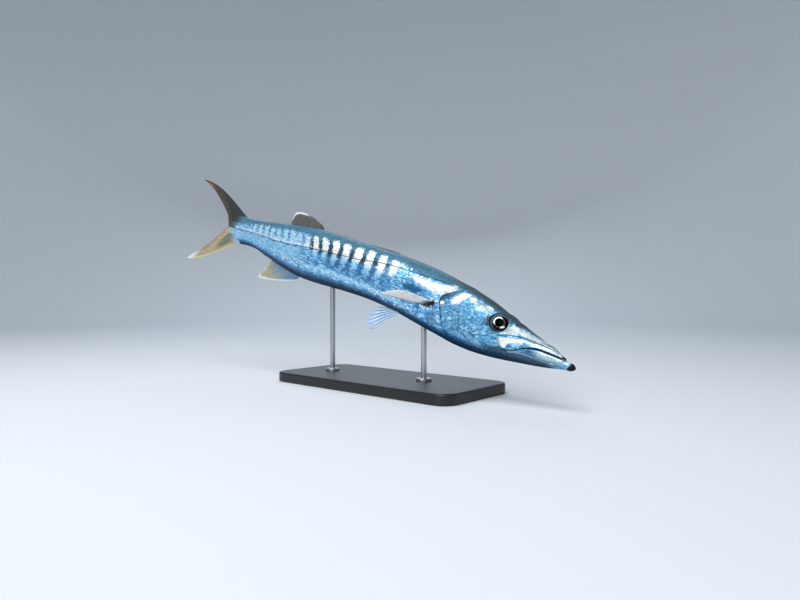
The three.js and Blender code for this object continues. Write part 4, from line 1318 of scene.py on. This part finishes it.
def fin_piece(name, root, edge, normal, rays, material, thick, ridge, bow=0, split=0.45, bright=(0, 1)):
    """One closed blade from its root curve to its edge curve. thick is half its thickness at root and edge"""
    across = np.linspace(0, 1, rays * STEPS_PER_RAY + 1)
    u, v = np.meshgrid(across, np.linspace(0, 1, STEPS_OUT + 1), indexing="ij")
    start, end = fin_curve(root)(u), fin_curve(edge)(u)
    normal = np.asarray(normal, float) / np.linalg.norm(normal)
    chord = end - start
    outwards = np.cross(normal, chord)
    outwards /= np.linalg.norm(outwards, axis=-1, keepdims=True) + 1e-9
    push = bow * (1 - u) * 27 / 4 * v**2 * (1 - v)
    notch = 1 - NOTCH * (1 - ray_profile(u, 1, rays, split)) * v**6 * smoothstep(u, 0.12, 0.3)
    middle = start + chord * (v * notch)[..., None] - outwards * push[..., None]
    rays_up = ray_profile(u, v, rays, split)
    middle = middle + normal * (WAVE * v**2 * np.sin(math.pi * rays * u))[..., None]
    rim = np.minimum(1, 40 * (1 - v)) * np.minimum(1, 60 * u) * np.minimum(1, 60 * (1 - u))
    half = (thick[0] + (thick[1] - thick[0]) * v**0.7) * FILM_SHARE + ridge * rays_up * (1 - 0.8 * v)
    half = RIM_HALF + (half - RIM_HALF) * np.sqrt(np.clip(rim, 0, 1))
    sides = np.stack([middle + normal * half[..., None], middle - normal * half[..., None]])
    faces = fin_faces(*u.shape)
    way = np.cross(middle[-1, 0] - middle[0, 0], middle[0, -1] - middle[0, 0]) @ normal
    faces = faces if way < 0 else faces[:, ::-1]
    piece = new_piece(name, posed(sides.reshape(-1, 3)), faces, material, [name])
    values = fin_values(u, v, middle[..., 0], middle[..., 2], rays_up, bright)
    set_values(piece, **{word: np.tile(value.ravel(), 2) for word, value in values.items()})


# %% [markdown]
# Fin material: a film of skin, clear or tinted, over bony rays that show pale through it. The tint changes
# from the scaly root to the trailing edge, so each fin is painted in layers by where a point
# lies on it. Light comes through the film between the rays of the clearest fins.

# %% Fin materials
DAPPLES_PER_METRE = 170.0


def fin_membrane(name, film, paint, clearness=0.0):
    """A film of two tones, painted over in layers that are each a colour and a strength"""
    material, tree = new_material(name)
    place = add(tree, "TexCoord").outputs["Object"]
    noise = add(tree, "TexNoise", {"Vector": place, "Scale": DAPPLES_PER_METRE, "Detail": 4.0}).outputs["Fac"]
    cover = add(tree, "MapRange", {"Value": noise, "From Min": 0.3, "From Max": 0.7}).outputs[0]
    colour, layers = linear(film[0]), [(cover, film[1])]
    for word, (layer, strength) in paint.items():
        mask = add(tree, "Attribute", attribute_name=word).outputs["Fac"]
        uneven = {"Value": noise, "To Min": strength * 0.6, "To Max": strength * 1.4}
        uneven = add(tree, "MapRange", uneven).outputs[0]
        cover = add(tree, "Math", {0: mask, 1: uneven}, operation="MULTIPLY", use_clamp=True).outputs[0]
        layers.append((cover, layer))
    for cover, layer in layers:
        mix = {0: cover, MIX_A: colour, MIX_B: linear(layer)}
        colour = add(tree, "Mix", mix, data_type="RGBA").outputs[MIX_RESULT]
    finish = {"Base Color": colour, "Roughness": 0.45, "Coat Weight": 0.2, "Coat Roughness": 0.2}
    if clearness:
        ray = add(tree, "Attribute", attribute_name="ray").outputs["Fac"]
        clear = {"Value": ray, "To Min": 1 - clearness, "To Max": 1.0}
        finish["Alpha"] = add(tree, "MapRange", clear).outputs[0]
    shader = add(tree, "BsdfPrincipled", finish)
    add(tree, "OutputMaterial", {"Surface": shader.outputs[0]})
    return material


first_dorsal = fin_membrane("first_dorsal_membrane", ("#3d5058", "#4a616b"), {"ray": ("#5d737c", 0.6)})
second_dorsal = fin_membrane("second_dorsal_membrane", ("#45433f", "#5f5b53"), {
    "ray": ("#7b766c", 0.25),
    "root": ("#3c494c", 0.8),
    "edge": ("#f2f5f6", 1.0),
    "lead": ("#1d2226", 1.0),
})
anal = fin_membrane("anal_membrane", ("#8f8566", "#b0a37c"), {
    "ray": ("#c7bd9a", 0.35),
    "front": ("#5784a8", 0.9),
    "blush": ("#5f8db3", 0.8),
    "edge": ("#dfebf6", 0.9),
    "tip": ("#f2f8fd", 0.9),
})
tail_upper = fin_membrane("upper_tail_membrane", ("#161d1e", "#262e2b"), {
    "ray": ("#37392f", 0.4),
    "rear": ("#54432f", 0.7),
    "tip": ("#8f6c49", 0.9),
    "lead": ("#11171a", 0.9),
    "flesh": ("#47748a", 1.0),
})
tail_lower = fin_membrane("lower_tail_membrane", ("#8d7d60", "#b3a482"), {
    "patch": ("#5b6357", 1.5),
    "ray": ("#cdbf9c", 0.25),
    "edge": ("#9a6f4a", 0.7),
    "lead": ("#e0cf9a", 0.8),
    "tip": ("#dfe8ee", 0.9),
    "flesh": ("#7fb2d0", 0.95),
})
# The pectoral's upper half is painted light as a highlight from above
pectoral = fin_membrane("pectoral_membrane", ("#a6b3b6", "#dbe3e2"), {
    "ray": ("#f3f5f3", 0.45),
    "edge": ("#f3f1ec", 0.6),
    "front": ("#c9ada0", 0.3),
    "upper_highlight": ("#f8fbfa", 0.75),
    "lead": ("#a88c84", 0.75),
    "foot": ("#0f0b09", 1.6),
})
pelvic = fin_membrane("pelvic_membrane", ("#3f82c0", "#6aa6d8"), {
    "ray": ("#eaf4fb", 0.8),
    "root": ("#c9e0f2", 0.8),
    "lead": ("#e6f1f9", 0.7),
}, 0.6)

# %% [markdown]
# Now the nine fins. The two dorsal fins, the anal fin and the tail stand in the middle plane. The first
# dorsal lies folded along the back, and the tail's two lobes bow apart. The pectorals are a mirrored
# pair. The pelvic fins hang at different angles, as the left one is swept out.

# %% The fins
SIDEWAYS = (0, 1, 0)
fin_piece(
    "first_dorsal_fin",
    [[402, 54], [432, 52], [462, 51]],
    [[412, 60.2], [440, 59.7], [470, 58.0], [504, 55.6]],
    SIDEWAYS, 5, first_dorsal, (1.6, 0.5), 1.0, split=2,
)
fin_piece(
    "second_dorsal_fin",
    [[628, 51], [688, 47], [742, 40]],
    [[646, 63.5], [686, 76], [722, 79.4], [741, 73], [745, 49]],
    SIDEWAYS, 10, second_dorsal, (1.5, 0.3), 0.45, bright=(0.42, 0.86),
)
fin_piece(
    "anal_fin",
    [[656, -58], [714, -52], [767, -42]],
    [[672, -73], [716, -85.5], [760, -94.4], [801, -96.4], [786, -79], [771, -50]],
    SIDEWAYS, 10, anal, (1.5, 0.3), 0.7,
)
fin_piece(
    "tail_fin_upper",
    [[882, 29], [906, 21], [920, 10], [922, 0.2]],
    [[1094, 111.5], [1052, 91], [1008, 60.3], [974, 31], [959.5, 2.8]],
    SIDEWAYS, 9, tail_upper, (2.3, 0.3), 0.8, bow=11,
)
fin_piece(
    "tail_fin_lower",
    [[892, -27], [908, -20], [920, -10], [922, -0.2]],
    [[1087, -103.5], [1046, -74.5], [1008, -46.5], [978, -16], [959.5, 2.4]],
    SIDEWAYS, 9, tail_lower, (2.3, 0.3), 0.8, bow=-10,
)

PECTORAL_ROOT = np.array([[260, 34, -5], [260, 34.5, -1], [261, 34, 3]])
PECTORAL_EDGE = np.array([[362, 73, -24], [348, 71.5, -13.5], [331, 68, -4], [310, 62, 1.5], [288, 53, 2]])
for side, word in SIDES:
    root, edge = PECTORAL_ROOT * [1, side, 1], PECTORAL_EDGE * [1, side, 1]
    name, normal = "pectoral_fin_" + word, (-0.25, side, 0.1)
    fin_piece(name, root, edge, normal, 12, pectoral, (1.3, 0.3), 0.6)

fin_piece(
    "pelvic_fin_right",
    [[340, -17, -40], [348, -15, -40], [356, -13, -40]],
    [[384, -23, -95], [396, -27, -96], [408, -23, -86], [413, -19, -72], [406, -14, -54]],
    (0, -1, -0.25), 6, pelvic, (1.1, 0.3), 0.8,
)
fin_piece(
    "pelvic_fin_left",
    [[341, 17, -41], [349, 15.5, -41.5], [357, 14, -42]],
    [[394, 45, -50], [404, 43, -50.6], [411, 36, -51], [413, 28, -51.4], [406, 20, -50.6]],
    (-0.09, 0.3, 0.95), 6, pelvic, (1.1, 0.3), 0.8,
)

# %% [markdown]
# ## Eyes
# A barracuda's eye is large and flat-fronted: a black pupil in a silver iris, with a dark rim, under a
# wet, clear cornea. The eyeball is a squashed sphere set square to the cheek. Its colours are rings, so
# the material needs only how far a point lies from the middle. The silver iris is painted lit in two arcs and
# shaded elsewhere, and a painted highlight stands in for the cornea's reflection.

# %% Eye material
RINGS = [
    (0.0, "#020203"),
    (0.43, "#020203"),
    (0.46, "#ffffff"),
    (0.61, "#ffffff"),
    (0.63, "#050607"),
    (0.73, "#050607"),
    (0.79, "#6a7e85"),
    (0.88, "#55666e"),
    (0.95, "#2a353d"),
    (1.0, "#141a20"),
]
# The iris's shaded and lit colours, which paint the light on it, and the painted highlight's colour
SHADED_IRIS, LIT_IRIS, PAINTED_GLEAM = linear("#241c19"), linear("#eef4f4"), linear("#f6fbfb")


def eye_material():
    material, tree = new_material("wet_eye")
    reach, lit_arcs, painted_gleam = [
        add(tree, "Attribute", attribute_name=word).outputs["Fac"] for word in ("reach", "lit_arcs", "painted_gleam")
    ]
    ramp = add(tree, "ValToRGB", {"Fac": reach})
    elements = ramp.color_ramp.elements
    elements[0].color, elements[1].color = linear(RINGS[0][1]), linear(RINGS[-1][1])
    for position, colour in RINGS[1:-1]:
        elements.new(position).color = linear(colour)
    mix = {"data_type": "RGBA"}
    iris = add(tree, "Mix", {0: lit_arcs, MIX_A: SHADED_IRIS, MIX_B: LIT_IRIS}, **mix).outputs[MIX_RESULT]
    colour = add(tree, "Mix", {0: 1.0, MIX_A: ramp.outputs[0], MIX_B: iris}, blend_type="MULTIPLY", **mix)
    colour = add(tree, "Mix", {0: painted_gleam, MIX_A: colour.outputs[MIX_RESULT], MIX_B: PAINTED_GLEAM}, **mix)
    # The real reflection is almost turned off, and the painted highlight stands in for it
    finish = {"Base Color": colour.outputs[MIX_RESULT], "Roughness": 0.08, "Specular IOR Level": 0.01}
    shader = add(tree, "BsdfPrincipled", finish)
    add(tree, "OutputMaterial", {"Surface": shader.outputs[0]})
    return material


wet_eye = eye_material()
print("eye material of", len(RINGS), "rings")

# %% [markdown]
# The eyeball stands out of its socket a little, and its pupil looks slightly forwards. The lit arcs, painted
# light on the silver iris, follow the angle round the pupil, and a small soft spot below it is a painted
# highlight. Each point stores all three.

# %% Eyes
GAZE_FORWARD = 0.15
EYE_RINGS, EYE_STEPS = 64, 96
ARC_TURN = math.radians(30)


def eye_axes(side):
    """Middle of the eyeball, and its rearward, upward and outward axes, square to the cheek"""
    width = half_width(EYE_STATION, EYE_HEIGHT)
    along = half_width(EYE_STATION + 1, EYE_HEIGHT) - width
    up = half_width(EYE_STATION, EYE_HEIGHT + 1) - width
    outwards = np.array([-along, side, -up], float)
    outwards /= np.linalg.norm(outwards)
    rearwards = np.array([1.0, side * along, 0.0])
    rearwards /= np.linalg.norm(rearwards)
    upwards = np.cross(rearwards, outwards) * side
    middle = np.array([EYE_STATION, side * width, EYE_HEIGHT]) + outwards * (EYE_STANDS_OUT - EYE_DEEP)
    return middle, rearwards, upwards / np.linalg.norm(upwards), outwards


def eye_piece(side, name):
    middle, rearwards, upwards, outwards = eye_axes(side)
    angle = np.radians(np.linspace(1, 179, EYE_RINGS))[:, None]
    turn = np.linspace(0, 2 * math.pi, EYE_STEPS, endpoint=False)[None, :]
    disc = np.sin(angle) * np.ones_like(turn)
    points = (
        middle
        + rearwards * (EYE_LONG * disc * np.cos(turn))[..., None]
        + upwards * (EYE_TALL * disc * np.sin(turn))[..., None]
        + outwards * (EYE_DEEP * np.cos(angle) * np.ones_like(turn))[..., None]
    )
    poles = np.stack([middle + outwards * EYE_DEEP, middle - outwards * EYE_DEEP])
    faces = capped_faces(EYE_RINGS, EYE_STEPS)
    faces = faces if side < 0 else [face[::-1] for face in faces]
    piece = new_piece(name, posed(np.vstack([points.reshape(-1, 3), poles])), faces, wet_eye, [name])
    across, up = disc * np.cos(turn) + GAZE_FORWARD, disc * np.sin(turn)
    reach, around = np.hypot(across, up), np.arctan2(up, across)
    to_rear = np.cos(around - ARC_TURN)
    # Painted light: the iris is lit in arcs towards the rear and top and shaded elsewhere
    thick = 0.48 + 0.15 * smoothstep(to_rear, 0.1, 0.75)
    lit_arcs = (0.22 + 0.78 * smoothstep(to_rear, 0.0, 0.5)) * fade(reach, thick - 0.02, thick + 0.02)
    lit_arcs = np.maximum(lit_arcs, (0.3 + 0.7 * smoothstep(to_rear, -0.4, 0.7)) * smoothstep(reach, 0.64, 0.7))
    # A painted highlight below the pupil
    painted_gleam = spot(across, up, (-0.42, -0.31), (0.27, 0.11), -42)
    seen = angle < math.pi / 2
    values = {"reach": np.where(seen, reach, 1), "lit_arcs": lit_arcs * seen, "painted_gleam": painted_gleam * seen}
    set_values(piece, **{word: np.append(value.ravel(), value[[0, -1], 0]) for word, value in values.items()})


for side, word in SIDES:
    eye_piece(side, "eye_" + word)

# %% [markdown]
# ## The stand
# The base is a wooden board with a satin black paint, and the rods are brushed steel. Both keep the solids'
# own shapes, so they only need a finish. Sprayed paint has a faint orange peel, and brushing leaves fine
# rings round a turned rod.

# %% Stand
PEEL_PER_METRE = 500.0
PEEL_DEPTH = 0.0005
BRUSHING = (60.0, 60.0, 2500.0)


def stand_finish(name, colour, metallic, smoothest, roughest, scale, stretch=None, peel=None):
    """A plain finish whose roughness follows a fine noise, stretched into lines or raised as a peel"""
    material, tree = new_material(name)
    place = add(tree, "TexCoord").outputs["Object"]
    if stretch:
        place = add(tree, "Mapping", {"Vector": place, "Scale": stretch}).outputs[0]
    noise = add(tree, "TexNoise", {"Vector": place, "Scale": scale, "Detail": 2.0}).outputs["Fac"]
    rough = add(tree, "MapRange", {"Value": noise, "To Min": smoothest, "To Max": roughest}).outputs[0]
    finish = {"Base Color": linear(colour), "Metallic": metallic, "Roughness": rough}
    if peel:
        bump = add(tree, "Bump", {"Height": noise, "Strength": peel, "Distance": PEEL_DEPTH})
        finish["Normal"] = bump.outputs[0]
    shader = add(tree, "BsdfPrincipled", finish)
    add(tree, "OutputMaterial", {"Surface": shader.outputs[0]})
    return material


black_paint = stand_finish("satin_black_paint", "#17181a", 0.0, 0.34, 0.48, PEEL_PER_METRE, peel=0.08)
brushed_steel = stand_finish("brushed_steel", "#b9bbbd", 1.0, 0.2, 0.4, 1.0, stretch=BRUSHING)
FINISHES = {"stand_base": black_paint, "stand_rod_front": brushed_steel, "stand_rod_rear": brushed_steel}
for name, material in FINISHES.items():
    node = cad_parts[name]
    node.data.materials.clear()
    node.data.materials.append(material)
    print(name, "in", material.name)

# %% [markdown]
# ## Studio
# The fish stands on a plain pale floor that sweeps up into a round wall, so that it looks the same from
# every side. The floor is stage, not part of the object.

# %% Floor
FLOOR_RADIUS = 3.0
COVE = 1.6
WALL_TOP = 4.6
FLOOR_STEPS = 96


def studio_floor():
    profile = [(FLOOR_RADIUS * 0.5, 0.0), (FLOOR_RADIUS, 0.0)]
    bend = np.radians(np.linspace(6, 90, 15))
    profile += [(FLOOR_RADIUS + COVE * math.sin(a), COVE * (1 - math.cos(a))) for a in bend]
    profile.append((FLOOR_RADIUS + COVE, WALL_TOP))
    turn = np.linspace(0, 2 * math.pi, FLOOR_STEPS, endpoint=False)
    points = [(r * math.cos(a), r * math.sin(a), z) for r, z in profile for a in turn]
    faces = grid_faces(len(profile), FLOOR_STEPS, closed=True).tolist()
    faces += [[len(points), (k + 1) % FLOOR_STEPS, k] for k in range(FLOOR_STEPS)]
    points.append((0, 0, 0))
    material, tree = new_material("studio_paper")
    shader = add(tree, "BsdfPrincipled", {"Base Color": linear("#e2e5e8"), "Roughness": 0.9})
    add(tree, "OutputMaterial", {"Surface": shader.outputs[0]})
    floor = new_object("studio_floor", points, faces, material)


studio_floor()

# %% [markdown]
# A large soft light hangs over the fish, a little to the camera's side, as daylight falls from above. It
# makes the upper flank shine and leaves the belly dim. A key light in front and a fill behind soften it.

# %% Lights
AIM = Vector((0, 0, 0.25))
# Each light: its name, place, size in metres, power in watts and colour
LIGHTS = [
    ("overhead", (0.0, -0.8, 2.1), 1.5, 28, "#ffffff"),
    ("key", (0.9, -2.5, 1.4), 1.3, 40, "#f6faff"),
    ("fill", (-2.2, 2.4, 2.4), 2.4, 36, "#e8f2ff"),
]
SKY, SKY_STRENGTH = "#cfdde8", 0.35

for name, place, size, power, colour in LIGHTS:
    data = bpy.data.lights.new(name, "AREA")
    data.size = size
    data.energy = power
    data.color = linear(colour)[:3]
    light = bpy.data.objects.new(name, data)
    light.location = place
    light.rotation_euler = (AIM - Vector(place)).to_track_quat("-Z", "Y").to_euler()
    bpy.context.scene.collection.objects.link(light)
    print(name, power, "W")

world = bpy.data.worlds.new("studio")
bpy.context.scene.world = world
world.use_nodes = True
background = world.node_tree.nodes["Background"]
background.inputs["Color"].default_value = linear(SKY)
background.inputs["Strength"].default_value = SKY_STRENGTH
